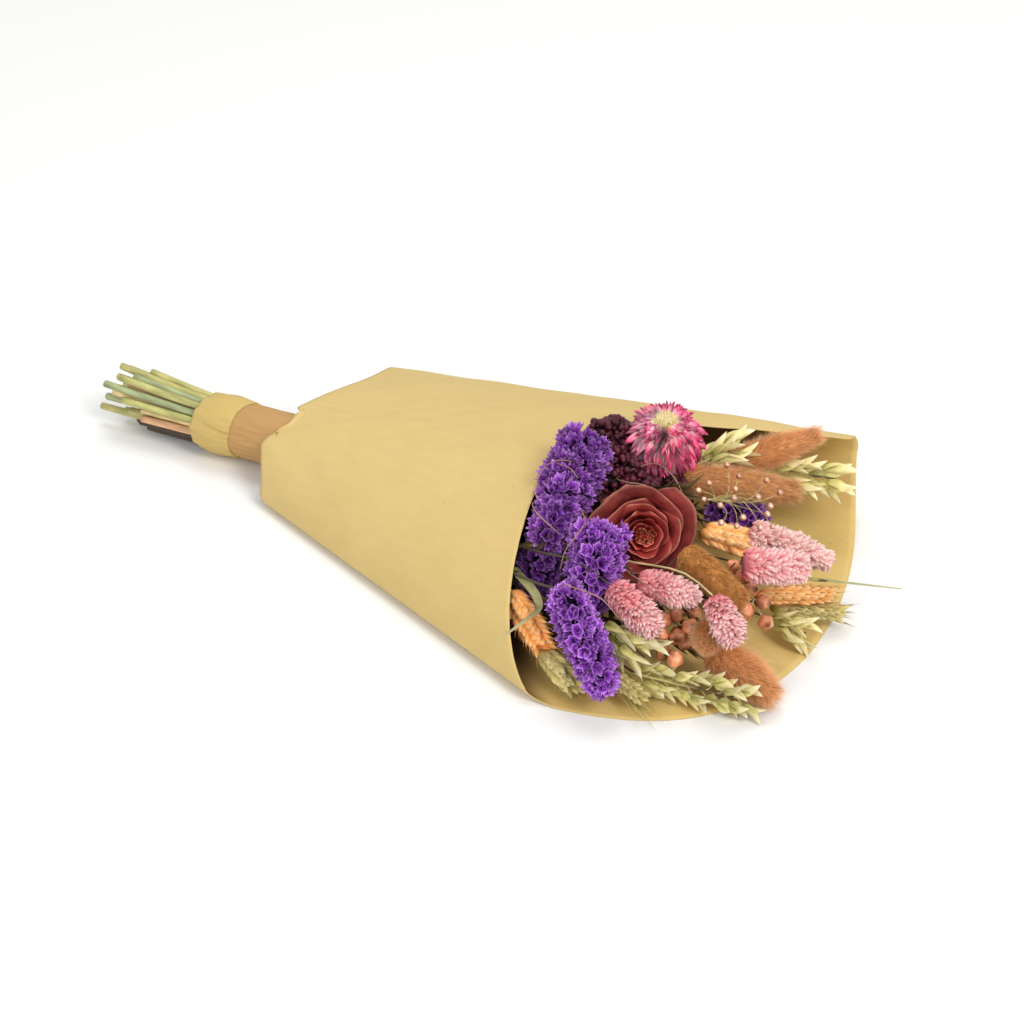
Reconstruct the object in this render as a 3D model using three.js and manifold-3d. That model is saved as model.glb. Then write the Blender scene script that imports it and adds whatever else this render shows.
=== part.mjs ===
// Mixed dried-flower bouquet in a kraft-paper sleeve, lying on its side. Millimetres, +Z up.
// +X runs from the cut stem ends to the flowers, and the sleeve's flat underside lies on z = 0.
import * as THREE from "three";
import { mergeVertices } from "three/addons/utils/BufferGeometryUtils.js";
import Module from "manifold-3d";

const wasm = await Module();
wasm.setup();

// Driving dimensions of the sleeve, all measured from its narrow end
const PAPER = 0.8;
const SECTION_AT = [-20, 210];
const NEAR_FOLD_Y = [-50, -97];
const NEAR_FOLD_Z = [5, 7];
const CREST_Y = [-8, 12];
const CREST_Z = [35, 74];
const FAR_FOLD_Y = [92, 135];
const FAR_FOLD_Z = [9, 30];
const ARCH_POWER = 1.15;
const CURL_WIDTH = 1.4;
const NARROW_END_X = -14;
const NARROW_END_SKEW = -0.234;
const CUT_BACK_X = 139;
const CUT_BACK_DEG = 80;
const NEAR_TIP_X = 200;
const FAR_TIP_X = 229;
const FAR_TIP_DEG = 28;
const TONGUE_X = 279;
const TONGUE_SIDE = 0.44;

// Driving dimensions of the tied stems
const STEM_R = 1.75;
const STEM_SIDES = 5;
const STEM_PITCH = 4.1;
const TIE_Z = 16.5;
const TIE_Y = -13;
const TIE_SLOPE = 0.19;
const TIE_END_X = -6;
const BAND_SPLIT_X = -54;
const WRAP_START_X = -75;
const BAND_IN = 14.45;
const BAND_OUT = 15.3;
const CUT_ENDS_X = [-102, -137];
const GAP = 0.3;
const REST_X = 100;

// Colours of dried material
const KRAFT = 0xcbb06a;
const TAPE = 0xb98f5c;
const GREEN = 0x9aa060;
const STRAW = 0xc9b46c;
const PINK = 0xd98a9c;
const TAN = 0x9c6238;
const VIOLET = 0x5a2fa8;
const ORANGE = 0xe09a4a;
const BURGUNDY = 0x4a1420;
const ROSE = 0x7a3430;
const MAGENTA = 0xb02a6a;
const CREAM = 0xe8dc9a;
const COPPER = 0x9a5638;

// Each head: where its room begins and ends, and the room's radius at its base, middle and tip
const ROOMS = {
  rose: { base: [193, -2, 39], tip: [199, -8, 43], radii: [12, 22, 22] },
  strawflower: { base: [174, 42, 60], tip: [174.6, 41.4, 63], radii: [8, 19, 19] },
  statice_a: { base: [169, -39, 49], tip: [157, 2, 69], radii: [9, 13, 13] },
  statice_b: { base: [204, -54, 39], tip: [199, -42, 56], radii: [9, 12, 12] },
  statice_c: { base: [207, -72, 41], tip: [230, -81, 20], radii: [9, 9.5, 7], from: [0.9, 0, 0.3] },
  statice_d: { base: [165, -39, 32], tip: [169, -48, 26], radii: [7, 7.5, 6] },
  statice_e: { base: [205, 52, 28], tip: [219, 52, 30], radii: [6, 8, 6] },
  burgundy_beads: { base: [163, 20, 52], tip: [148, 26, 65], radii: [8, 9, 7] },
  lagurus_1: { base: [195, 73, 42], tip: [223, 96, 57], radii: [6, 7, 4] },
  lagurus_2: { base: [193, 42, 47], tip: [228, 68, 42], radii: [7, 7.5, 6] },
  lagurus_3: { base: [231, -15, 46], tip: [253, -15, 37], radii: [7, 7.5, 6.5], from: [0.4, -0.2, 0.9] },
  lagurus_4: { base: [254, -35, 28], tip: [260, -44, 31], radii: [7, 8, 6] },
  lagurus_5: { base: [260, -31, 14], tip: [282, -32, 9], radii: [8.5, 9.5, 6] },
  phalaris_1: { base: [232, 34, 36], tip: [262, 46, 29], radii: [7, 8, 4.5] },
  phalaris_2: { base: [252, -2, 46], tip: [269, 15, 42], radii: [7.5, 8.5, 6] },
  phalaris_3: { base: [260, -38, 47], tip: [273, -44, 39], radii: [6, 8, 5] },
  phalaris_4: { base: [226, -42, 46], tip: [244, -34, 42], radii: [6.5, 8, 4] },
  phalaris_5: { base: [220, -55, 45], tip: [240, -57, 37], radii: [6.5, 8.5, 5] },
  flax_1: { base: [233, -32, 25], tip: [243, -33, 18], radii: [6, 9, 7] },
  flax_2: { base: [248, 6, 27], tip: [260, -1, 23], radii: [5, 8, 6] },
  flax_3: { base: [246, -51, 20], tip: [249, -51, 20], radii: [4, 4, 4] },
  copper_beads: { base: [217, 23, 54], tip: [237, 42, 50], radii: [3, 3, 3] },
  orange_wheat_1: { base: [207, 32, 28], tip: [234, 42, 25], radii: [5, 6.5, 4] },
  orange_wheat_2: { base: [162, -56, 19], tip: [188, -68, 11], radii: [5, 6.5, 4] },
  orange_wheat_3: { base: [250, 14, 20], tip: [272, 36, 18], radii: [4.5, 5, 3] },
  green_wheat_1: { base: [195, -74, 11], tip: [212, -80, 9], radii: [4.5, 6, 4] },
  green_wheat_2: { base: [253, 24, 10], tip: [275, 39, 8], radii: [4.5, 5.5, 4] },
  green_wheat_3: { base: [225, -65, 10], tip: [241, -69, 9], radii: [3.5, 4.5, 3] },
  oats_1: { base: [221, -61, 28], tip: [242, -59, 20], radii: [5, 7, 4] },
  oats_2: { base: [210, 91, 36], tip: [239, 110, 32], radii: [4.5, 5.5, 3.5] },
  oats_3: { base: [189, 59, 49], tip: [201, 75, 56], radii: [4, 6, 4] },
  oats_4: { base: [259, 14, 10], tip: [277, 17, 8], radii: [3, 4.5, 3] },
  oats_5: { base: [239, -59, 11], tip: [286, -43, 10], radii: [5, 6.5, 5] },
  grass_blade: { base: [262, 37, 22], tip: [296, 62, 18], radii: [1, 1, 1] },
  grass_leaf: { base: [164, -56, 33], tip: [186, -68, 32], radii: [2, 2, 2] },
};
const ROOM_BALLS = 6;
const FOOT_SHARE = 0.85;
const TOP_SHARE = 0.95;

// Small helpers
const vec = (p) => new THREE.Vector3(p[0], p[1], p[2]);
const mix = (a, b, t) => a + (b - a) * t;
const UP = new THREE.Vector3(0, 0, 1);
const GOLDEN_ANGLE = Math.PI * (3 - Math.sqrt(5));

function seeded(seed) {
  let state = seed;
  return () => {
    state = (state * 1664525 + 1013904223) % 4294967296;
    return state / 4294967296;
  };
}

// A closed three.js geometry as a solid, and back
function solid(geometry) {
  const bare = geometry.index ? geometry.toNonIndexed() : geometry.clone();
  bare.deleteAttribute("normal");
  bare.deleteAttribute("uv");
  const merged = mergeVertices(bare, 1e-4);
  const vertProperties = new Float32Array(merged.attributes.position.array);
  const triVerts = new Uint32Array(merged.index.array);
  return new wasm.Manifold(new wasm.Mesh({ numProp: 3, vertProperties, triVerts }));
}

function geometryOf(body) {
  const mesh = body.getMesh();
  const geometry = new THREE.BufferGeometry();
  const points = [];
  for (let i = 0; i < mesh.vertProperties.length; i += mesh.numProp) {
    points.push(...mesh.vertProperties.slice(i, i + 3));
  }
  geometry.setAttribute("position", new THREE.Float32BufferAttribute(points, 3));
  geometry.setIndex(Array.from(mesh.triVerts));
  return geometry;
}

// Joins closed geometries into one body and drops any loose scrap
function fuse(geometries) {
  let bodies = geometries.map(solid);
  while (bodies.length > 1) {
    const next = [];
    for (let i = 0; i < bodies.length; i += 2) {
      next.push(i + 1 < bodies.length ? bodies[i].add(bodies[i + 1]) : bodies[i]);
    }
    bodies = next;
  }
  const parts = bodies[0].decompose();
  parts.sort((a, b) => b.volume() - a.volume());
  return geometryOf(parts[0]);
}

// Moves every vertex of a three.js geometry by a rule
function reshaped(geometry, rule) {
  const position = geometry.attributes.position;
  for (let i = 0; i < position.count; i += 1) {
    const p = rule(position.getX(i), position.getY(i), position.getZ(i));
    position.setXYZ(i, p[0], p[1], p[2]);
  }
  return geometry;
}

// A tapering tube through knots: a cylinder whose rings are laid along them, the last one square to endWay
function tube(knots, radii, sides, flat = 1, endWay = null) {
  const rings = knots.length - 1;
  const points = knots.map(vec);
  const frames = points.map((p, i) => {
    const onward = points[Math.min(i + 1, rings)].clone().sub(points[Math.max(i - 1, 0)]).normalize();
    const ahead = i === rings && endWay ? endWay : onward;
    const side = new THREE.Vector3().crossVectors(ahead, UP).normalize();
    return [side, new THREE.Vector3().crossVectors(side, ahead)];
  });
  const cylinder = new THREE.CylinderGeometry(1, 1, 1, sides, rings);
  return reshaped(cylinder, (x, y, z) => {
    const ring = Math.round((y + 0.5) * rings);
    const [side, lift] = frames[ring];
    const p = points[ring].clone();
    p.addScaledVector(side, x * radii[ring]);
    p.addScaledVector(lift, z * radii[ring] * flat);
    return p.toArray();
  });
}

// A pointed blade along +Z with a keel: root, widest place, tip
function blade(length, width, thick, widest = 0.55, lean = 0) {
  return reshaped(new THREE.OctahedronGeometry(1, 0), (x, y, z) => [
    (x * width) / 2,
    (y * thick) / 2 + (z > 0.5 ? lean : 0),
    z > 0.5 ? length : z < -0.5 ? 0 : length * widest,
  ]);
}

// Stands a geometry that was built along +Z on a point, leaning along a direction
function stood(geometry, point, direction, roll = 0) {
  const turn = new THREE.Quaternion().setFromUnitVectors(UP, direction.clone().normalize());
  geometry.rotateZ(roll);
  geometry.applyQuaternion(turn);
  return geometry.translate(point.x, point.y, point.z);
}

// Radius at a share of the way from the first through the second to the third
const taper = (radii, s) => (s < 0.5 ? mix(radii[0], radii[1], s * 2) : mix(radii[1], radii[2], s * 2 - 1));

// The room of a head: its axis, its foot where the stem ends, and its radius along the axis
function roomOf(name) {
  const { base, tip, radii } = ROOMS[name];
  const from = vec(base);
  const to = vec(tip);
  const span = from.distanceTo(to);
  const axis = to.clone().sub(from).normalize();
  const foot = from.clone().addScaledVector(axis, -radii[0] * FOOT_SHARE);
  const length = radii[0] * FOOT_SHARE + span + radii[2] * TOP_SHARE;
  const radiusAt = (h) => {
    const s = (h - radii[0] * FOOT_SHARE) / span;
    const inside = THREE.MathUtils.clamp(s, 0, 1);
    const below = (Math.max(0, -s) * span) / radii[0];
    const above = (Math.max(0, s - 1) * span) / radii[2];
    return taper(radii, inside) * Math.sqrt(Math.max(0, 1 - below * below - above * above));
  };
  const balls = [];
  for (let i = 0; i < ROOM_BALLS; i += 1) {
    const s = i / (ROOM_BALLS - 1);
    balls.push({ centre: from.clone().lerp(to, s), r: taper(radii, s) });
  }
  return { name, axis, foot, length, radiusAt, balls };
}

const rooms = Object.fromEntries(Object.keys(ROOMS).map((name) => [name, roomOf(name)]));

// The paper sleeve
const station = (x) => (x - SECTION_AT[0]) / (SECTION_AT[1] - SECTION_AT[0]);
const at = (pair, x) => mix(pair[0], pair[1], station(x));

// A point of the sleeve's outer face: over the crest for turn 0 to 0.5, back along the table to 1
function sectionPoint(x, turn) {
  const near = [at(NEAR_FOLD_Y, x), at(NEAR_FOLD_Z, x)];
  const far = [at(FAR_FOLD_Y, x), at(FAR_FOLD_Z, x)];
  const crest = [at(CREST_Y, x), at(CREST_Z, x)];
  if (turn <= 0.5) {
    const angle = turn * 2 * Math.PI;
    const c = Math.abs(Math.cos(angle)) ** ARCH_POWER;
    const s = Math.abs(Math.sin(angle)) ** ARCH_POWER;
    const fold = turn < 0.25 ? far : near;
    return [mix(crest[0], fold[0], c), mix(fold[1], crest[1], s)];
  }
  const w = (turn - 0.5) * 2;
  const floorFrom = near[0] + near[1] * CURL_WIDTH;
  const floorTo = far[0] - far[1] * CURL_WIDTH;
  if (w < 1 / 6) {
    const a = w * 6 * (Math.PI / 2);
    return [mix(floorFrom, near[0], Math.cos(a)), near[1] * (1 - Math.sin(a))];
  }
  if (w <= 5 / 6) {
    return [mix(floorFrom, floorTo, (w - 1 / 6) * 1.5), 0];
  }
  const a = (w - 5 / 6) * 6 * (Math.PI / 2);
  return [mix(floorTo, far[0], Math.sin(a)), far[1] * (1 - Math.cos(a))];
}

// Where the sheet ends at the mouth: a concave cut in front, a rounded tongue behind
function mouthX(turn) {
  const farFoldX = FAR_TIP_X - 3;
  if (turn <= 0.5) {
    const deg = turn * 360;
    if (deg >= CUT_BACK_DEG) {
      return mix(CUT_BACK_X, NEAR_TIP_X, ((deg - CUT_BACK_DEG) / (180 - CUT_BACK_DEG)) ** 1.45);
    }
    const t = Math.min((CUT_BACK_DEG - deg) / (CUT_BACK_DEG - FAR_TIP_DEG), 1);
    return mix(CUT_BACK_X, FAR_TIP_X, t ** 1.45) - Math.max(0, 1 - deg / FAR_TIP_DEG) * 3;
  }
  const x = 240;
  const y = sectionPoint(x, turn)[0];
  const s = (y - at(NEAR_FOLD_Y, x)) / (at(FAR_FOLD_Y, x) - at(NEAR_FOLD_Y, x));
  if (s < TONGUE_SIDE) {
    return mix(TONGUE_X, NEAR_TIP_X, (1 - s / TONGUE_SIDE) ** 2.8);
  }
  return mix(TONGUE_X, farFoldX, ((s - TONGUE_SIDE) / (1 - TONGUE_SIDE)) ** 1.65);
}

function narrowX(turn) {
  const y = sectionPoint(SECTION_AT[0], turn)[0];
  return NARROW_END_X + NARROW_END_SKEW * (y - TIE_Y);
}

// The sheet's outer point, or its inner one a paper's thickness away
function sheetPoint(turn, share, inner) {
  const x = mix(narrowX(turn), mouthX(turn), share);
  const p = sectionPoint(x, turn);
  if (!inner) {
    return [x, p[0], p[1]];
  }
  const step = 0.004;
  const a = sectionPoint(x, (turn + 1 - step) % 1);
  const b = sectionPoint(x, (turn + step) % 1);
  const run = Math.hypot(b[0] - a[0], b[1] - a[1]);
  return [x, p[0] - (PAPER * (b[1] - a[1])) / run, p[1] + (PAPER * (b[0] - a[0])) / run];
}

// A ring whose closed rectangular profile is laid on a rule of turn, share along and inner or outer
function shellRing(around, along, place) {
  const profile = [];
  for (let i = 0; i <= along; i += 1) {
    profile.push(new THREE.Vector2(2, i / along));
  }
  for (let i = along; i >= 0; i -= 1) {
    profile.push(new THREE.Vector2(1, i / along));
  }
  profile.push(profile[0].clone());
  const lathe = new THREE.LatheGeometry(profile, around);
  return reshaped(lathe, (x, y, z) => {
    const angle = (Math.atan2(x, z) / (2 * Math.PI) + 1) % 1;
    const turn = (Math.round(angle * around) % around) / around;
    return place(turn, y, Math.hypot(x, z) < 1.5);
  });
}

const SLEEVE_AROUND = 32;
const SLEEVE_ALONG = 6;

function sleeve() {
  return shellRing(SLEEVE_AROUND, SLEEVE_ALONG, (turn, share, inner) => sheetPoint(turn, share, inner));
}

// The tie: a line through the middle of the gathered stems, and the bands round it
const tieCentre = (x) => [x, TIE_Y + TIE_SLOPE * x, TIE_Z];

function band(fromX, toX) {
  return shellRing(16, 1, (turn, share, inner) => {
    const c = tieCentre(mix(fromX, toX, share));
    const r = inner ? BAND_IN : BAND_OUT;
    const a = turn * 2 * Math.PI;
    return [c[0], c[1] + r * Math.cos(a), c[2] + r * Math.sin(a)];
  });
}

// Places of the stems in the tie, packed in rings of six
function tieSlots(count) {
  const slots = [];
  for (let row = -3; row <= 3; row += 1) {
    for (let k = 0; k < 7 - Math.abs(row); k += 1) {
      const u = (k - (6 - Math.abs(row)) / 2) * STEM_PITCH;
      slots.push([u, row * STEM_PITCH * Math.sin(Math.PI / 3)]);
    }
  }
  slots.sort((a, b) => Math.hypot(...a) - Math.hypot(...b));
  return slots.slice(0, count);
}

// Gives each head the slot that lies the same way from the middle, by swapping pairs while it helps
function assignSlots(names) {
  const slots = tieSlots(names.length);
  const exit = tieCentre(TIE_END_X);
  const aims = names.map((name) => {
    const foot = rooms[name].foot;
    const reach = foot.x - exit[0];
    return [(foot.y - exit[1]) / reach, (foot.z - exit[2]) / reach];
  });
  const spread = [0, 1].map((k) => {
    const values = aims.map((aim) => aim[k]);
    const mean = values.reduce((a, b) => a + b) / values.length;
    const size = Math.sqrt(values.reduce((a, b) => a + (b - mean) ** 2, 0) / values.length);
    return { mean, size };
  });
  const slotSpread = STEM_PITCH * 1.6;
  const scaled = aims.map((aim) => aim.map((v, k) => ((v - spread[k].mean) / spread[k].size) * slotSpread));
  const cost = (i, slot) => (scaled[i][0] - slot[0]) ** 2 + (scaled[i][1] - slot[1]) ** 2;
  let swapped = true;
  while (swapped) {
    swapped = false;
    for (let i = 0; i < slots.length; i += 1) {
      for (let j = i + 1; j < slots.length; j += 1) {
        if (cost(i, slots[j]) + cost(j, slots[i]) < cost(i, slots[i]) + cost(j, slots[j]) - 1e-9) {
          [slots[i], slots[j]] = [slots[j], slots[i]];
          swapped = true;
        }
      }
    }
  }
  return slots;
}

// Nearest places of two straight pieces
function nearest(a0, a1, b0, b1) {
  const u = a1.clone().sub(a0);
  const v = b1.clone().sub(b0);
  const w = a0.clone().sub(b0);
  const uu = u.dot(u);
  const uv = u.dot(v);
  const vv = v.dot(v);
  const den = uu * vv - uv * uv;
  let s = den > 1e-9 ? THREE.MathUtils.clamp((uv * v.dot(w) - vv * u.dot(w)) / den, 0, 1) : 0.5;
  const t = THREE.MathUtils.clamp((uv * s + v.dot(w)) / vv, 0, 1);
  s = THREE.MathUtils.clamp((uv * t - u.dot(w)) / uu, 0, 1);
  const apart = a0.clone().addScaledVector(u, s).sub(b0.clone().addScaledVector(v, t));
  return { s, t, apart };
}

// Height of the front panel's outer face over a place, and how far along its sheet reaches there
function panelAt(x, y) {
  const crest = [at(CREST_Y, x), at(CREST_Z, x)];
  const onFar = y > crest[0];
  const [foldY, foldZ] = onFar ? [FAR_FOLD_Y, FAR_FOLD_Z] : [NEAR_FOLD_Y, NEAR_FOLD_Z];
  const fold = [at(foldY, x), at(foldZ, x)];
  const c = Math.min(1, (y - crest[0]) / (fold[0] - crest[0])) ** (1 / ARCH_POWER);
  const s = Math.sqrt(1 - c * c);
  const angle = onFar ? Math.acos(c) : Math.PI - Math.acos(c);
  return { z: mix(fold[1], crest[1], s ** ARCH_POWER), mouth: mouthX(angle / (2 * Math.PI)) };
}

const UNDER_PANEL = 2.2;
const ABOVE_TABLE = 1.2;

// Keeps a straight piece of stem under the front panel
function holdUnderPanel(a, b, r) {
  for (const t of [0, 0.33, 0.67, 1]) {
    const p = a.clone().lerp(b, t);
    const panel = panelAt(p.x, p.y);
    if (p.x > panel.mouth + 2) {
      continue;
    }
    const slope = panelAt(p.x, p.y + 0.5).z - panelAt(p.x, p.y - 0.5).z;
    const over = p.z - (panel.z - (r + UNDER_PANEL) * Math.hypot(1, slope));
    if (over > 0) {
      a.z -= over * (1 - t);
      b.z -= over * t;
    }
  }
}

const HIDDEN_KNOTS = 5;
const APPROACH = 7;
const LOW_ROUTE_X = 205;
const stemNames = Object.keys(ROOMS);
const THICK_END_R = 1.5;
const MIDDLE_END_R = 1.2;
const THIN_END_R = 1;
const ROUNDS = 260;
const SETTLING_ROUNDS = 60;
const HEAD_CLEARANCE = 0.9;
const STEM_CLEARANCE = 0.45;

function stemEndR(name) {
  if (/rose|strawflower|statice/.test(name)) {
    return THICK_END_R;
  }
  return /wheat|oats/.test(name) ? MIDDLE_END_R : THIN_END_R;
}

// A stem of the tie starts at its own cut end, spreads a little there and runs straight through the tie
function tiedStart(slot, cutX) {
  const [u, v] = slot;
  const fan = (WRAP_START_X - cutX) / 60;
  const cut = [cutX, tieCentre(cutX)[1] + u * (1 + 0.25 * fan), TIE_Z + v * (1 + (v > 0 ? 0.6 : 0) * fan)];
  const inTie = (x) => vec([x, tieCentre(x)[1] + u, TIE_Z + v]);
  return [vec(cut), inTie(WRAP_START_X), inTie(TIE_END_X)];
}

// Eases the free knots of a stem toward a smooth line, under the front panel and above the back one
function easeStem(stem, easing, first, last, radiusAt) {
  for (let k = first; k < last; k += 1) {
    const middle = stem.line[k - 1].clone().add(stem.line[k + 1]).multiplyScalar(0.5);
    stem.line[k].lerp(middle, easing);
  }
  for (let k = first; k < last; k += 1) {
    holdUnderPanel(stem.line[k], stem.line[k + 1], radiusAt(stem, k));
  }
  for (let k = first; k <= last; k += 1) {
    const lowest = ABOVE_TABLE + PAPER + radiusAt(stem, k);
    stem.line[k].z = Math.max(stem.line[k].z, lowest);
  }
}

// Pushes one stem off the heads of the others
function clearOfHeads(stem, k, r, first, last) {
  for (const room of Object.values(rooms)) {
    if (room.name === stem.name) {
      continue;
    }
    for (const ball of room.balls) {
      const above = ball.centre.clone().addScaledVector(UP, 0.01);
      const near = nearest(stem.line[k], stem.line[k + 1], ball.centre, above);
      pushApart(stem, k, near.s, near.apart, ball.r + r + HEAD_CLEARANCE, 1, first, last);
    }
  }
}

// The stems' routes: straight from the tie to each head, then pushed clear of one another and of the heads
function routeStems() {
  const slots = assignSlots(stemNames);
  const random = seeded(11);
  const stems = stemNames.map((name, i) => {
    const room = rooms[name];
    const start = tiedStart(slots[i], mix(CUT_ENDS_X[0], CUT_ENDS_X[1], random()));
    const exit = start[2];
    const along = ROOMS[name].from ? vec(ROOMS[name].from).normalize() : room.axis;
    const approach = room.foot.clone().addScaledVector(along, -APPROACH);
    const knots = [];
    for (let k = 1; k <= HIDDEN_KNOTS; k += 1) {
      const t = k / (HIDDEN_KNOTS + 1);
      const knot = exit.clone().lerp(approach, t);
      knot.z = mix(exit.z, approach.z, t ** (room.foot.x > LOW_ROUTE_X ? 3 : 1));
      knots.push(knot);
    }
    return { name, line: [...start, ...knots, approach, room.foot.clone()], endR: stemEndR(name) };
  });
  const first = 3;
  const last = first + HIDDEN_KNOTS;
  const radiusAt = (stem, k) => mix(STEM_R, stem.endR, Math.max(0, k - 2) / (stem.line.length - 3));
  for (let round = 0; round < ROUNDS; round += 1) {
    const easing = round < ROUNDS - SETTLING_ROUNDS ? 0.12 : 0.02;
    for (const stem of stems) {
      easeStem(stem, easing, first, last, radiusAt);
    }
    for (let i = 0; i < stems.length; i += 1) {
      const a = stems[i];
      for (let k = first - 1; k < a.line.length - 1; k += 1) {
        const r = Math.max(radiusAt(a, k), radiusAt(a, k + 1));
        clearOfHeads(a, k, r, first, last);
        for (const b of stems.slice(0, i)) {
          for (let m = first - 1; m < b.line.length - 1; m += 1) {
            const near = nearest(a.line[k], a.line[k + 1], b.line[m], b.line[m + 1]);
            const room = r + Math.max(radiusAt(b, m), radiusAt(b, m + 1)) + STEM_CLEARANCE;
            pushApart(a, k, near.s, near.apart, room, 0.5, first, last);
            pushApart(b, m, near.t, near.apart.clone().negate(), room, 0.5, first, last);
          }
        }
      }
    }
  }
  const withRadii = (stem) => ({ ...stem, radii: stem.line.map((p, k) => radiusAt(stem, k)) });
  return Object.fromEntries(stems.map((stem) => [stem.name, withRadii(stem)]));
}

// Moves the free ends of one piece of a stem so that it keeps its distance
function pushApart(stem, k, s, apart, room, share, first, last) {
  const gap = apart.length();
  if (gap >= room) {
    return;
  }
  const away = gap > 1e-6 ? apart.clone().divideScalar(gap) : UP.clone();
  const push = away.multiplyScalar((room - gap) * share);
  if (k >= first && k <= last) {
    stem.line[k].addScaledVector(push, 1 - s);
  }
  if (k + 1 >= first && k + 1 <= last) {
    stem.line[k + 1].addScaledVector(push, s);
  }
}

const stems = routeStems();

// A stem as a tube, which ends a gap before a head of its own or runs right into a head fused to it
function stemTube(name, shorten = GAP) {
  const { line, radii } = stems[name];
  const knots = line.map((p) => p.toArray());
  const end = line[line.length - 1].clone().addScaledVector(rooms[name].axis, -shorten);
  knots[knots.length - 1] = end.toArray();
  return tube(knots, radii, STEM_SIDES, 1, rooms[name].axis);
}

// Spots spread evenly over a head, with the way out from its axis
function spots(room, count, from, to, reach, use) {
  for (let i = 0; i < count; i += 1) {
    const h = mix(from, to, (i + 0.5) / count) * room.length;
    const angle = i * GOLDEN_ANGLE;
    const out = new THREE.Vector3(Math.cos(angle), Math.sin(angle), 0);
    const r = room.radiusAt(h) * reach;
    use(new THREE.Vector3(out.x * r, out.y * r, h), out, i, angle);
  }
}

// A smooth core inside a head, which its repeats stand out of
function core(room, share, sides, rings, from = 0, to = 0.96) {
  const profile = [new THREE.Vector2(0, from * room.length)];
  for (let i = 0; i <= rings; i += 1) {
    const h = mix(from, to, (i + 0.3) / (rings + 0.6)) * room.length;
    profile.push(new THREE.Vector2(Math.max(0.4, room.radiusAt(h) * share), h));
  }
  profile.push(new THREE.Vector2(0, to * room.length));
  const lathe = new THREE.LatheGeometry(profile, sides);
  return lathe.rotateX(Math.PI / 2);
}

function placed(geometries, room) {
  return geometries.map((g) => stood(g, room.foot, room.axis));
}

// Hare's-tail head: a soft body covered in bristles that lean to the tip
const BRISTLES = 14;
const BRISTLE_R = 1.9;

function lagurusHead(name) {
  const room = rooms[name];
  const pieces = [core(room, 0.62, 7, 4)];
  spots(room, BRISTLES, 0.05, 0.9, 0.5, (p, out) => {
    const lean = out.clone().multiplyScalar(0.55).add(UP).normalize();
    const reach = Math.min(room.radiusAt(p.z) * 0.75 + 2.5, (room.length - p.z) / lean.z);
    const bristle = new THREE.ConeGeometry(BRISTLE_R, reach, 3).rotateX(Math.PI / 2);
    pieces.push(stood(bristle.translate(0, 0, reach / 2), p, lean));
  });
  return fuse(placed(pieces, room));
}

// Canary-grass head: keeled scales in close spirals
const SCALES = 12;
const SCALE_WIDE = 6.6;
const SCALE_THICK = 2.4;

function phalarisHead(name) {
  const room = rooms[name];
  const pieces = [core(room, 0.5, 6, 4)];
  spots(room, SCALES, 0.01, 0.8, 0.27, (p, out, i, angle) => {
    const lean = out.clone().multiplyScalar(0.5).add(UP).normalize();
    const tall = Math.min(room.radiusAt(p.z) * 0.9 + 3, (room.length * 0.99 - p.z) / lean.z);
    pieces.push(stood(blade(tall, SCALE_WIDE, SCALE_THICK, 0.55), p, lean, angle + Math.PI / 2));
  });
  return fuse(placed(pieces, room));
}

// Statice spray: open papery cups crowded on a short axis
const CUP_MAX_R = 4.3;

function staticeHead(name, count) {
  const room = rooms[name];
  const pieces = [core(room, 0.52, 6, 3)];
  spots(room, count, 0.05, 0.93, 0.42, (p, out, i) => {
    const lean = out.clone().add(new THREE.Vector3(0, 0, mix(-0.2, 0.9, i / count)));
    const r = room.radiusAt(p.z);
    const depth = r * 0.45 + 0.2;
    const cup = new THREE.ConeGeometry(Math.min(CUP_MAX_R, r * 0.4 + 0.4), depth, 5).rotateX(-Math.PI / 2);
    pieces.push(stood(cup.translate(0, 0, depth / 2), p, lean, i));
  });
  return fuse(placed(pieces, room));
}

// Strawflower: rings of pointed bracts round a low disc
const STRAW_RINGS = [
  { count: 12, tilt: 1.5, reach: 14.5, height: 8 },
  { count: 12, tilt: 1.1, reach: 14, height: 11 },
  { count: 12, tilt: 0.7, reach: 12, height: 14 },
];
const STRAW_CUP_R = [3, 7];
const STRAW_CUP_FOOT = 0.3;
const STRAW_DISC_R = 5;
const STRAW_DISC_H = 20;

function strawflowerBracts() {
  const room = rooms.strawflower;
  const cupH = STRAW_DISC_H - 2;
  const cup = new THREE.CylinderGeometry(STRAW_CUP_R[1], STRAW_CUP_R[0], cupH, 9).rotateX(Math.PI / 2);
  const pieces = [cup.translate(0, 0, cupH / 2 + STRAW_CUP_FOOT)];
  STRAW_RINGS.forEach((ring, level) => {
    for (let i = 0; i < ring.count; i += 1) {
      const angle = ((i + level * 0.5) / ring.count) * 2 * Math.PI;
      const out = new THREE.Vector3(Math.cos(angle), Math.sin(angle), 0);
      const lean = out.clone().multiplyScalar(Math.sin(ring.tilt)).addScaledVector(UP, Math.cos(ring.tilt));
      const cupR = mix(STRAW_CUP_R[0], STRAW_CUP_R[1], ring.height / STRAW_DISC_H);
      const root = out.clone().multiplyScalar(cupR - 1).setZ(ring.height);
      pieces.push(stood(blade(ring.reach, 4.8, 1.6, 0.6), root, lean, angle + Math.PI / 2));
    }
  });
  return fuse(placed(pieces, room));
}

function strawflowerDisc() {
  const room = rooms.strawflower;
  const profile = [[0, 0], [STRAW_DISC_R, 0], [STRAW_DISC_R, 1], [STRAW_DISC_R * 0.75, 2.4], [0, 3]];
  const dome = new THREE.LatheGeometry(profile.map((p) => new THREE.Vector2(...p)), 10);
  dome.rotateX(Math.PI / 2).translate(0, 0, STRAW_DISC_H - 2 + STRAW_CUP_FOOT + GAP);
  return stood(dome, room.foot, room.axis);
}

// Rose: broad cupped petals wound in a spiral round a tight bud
const ROSE_PETALS = 9;

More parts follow.
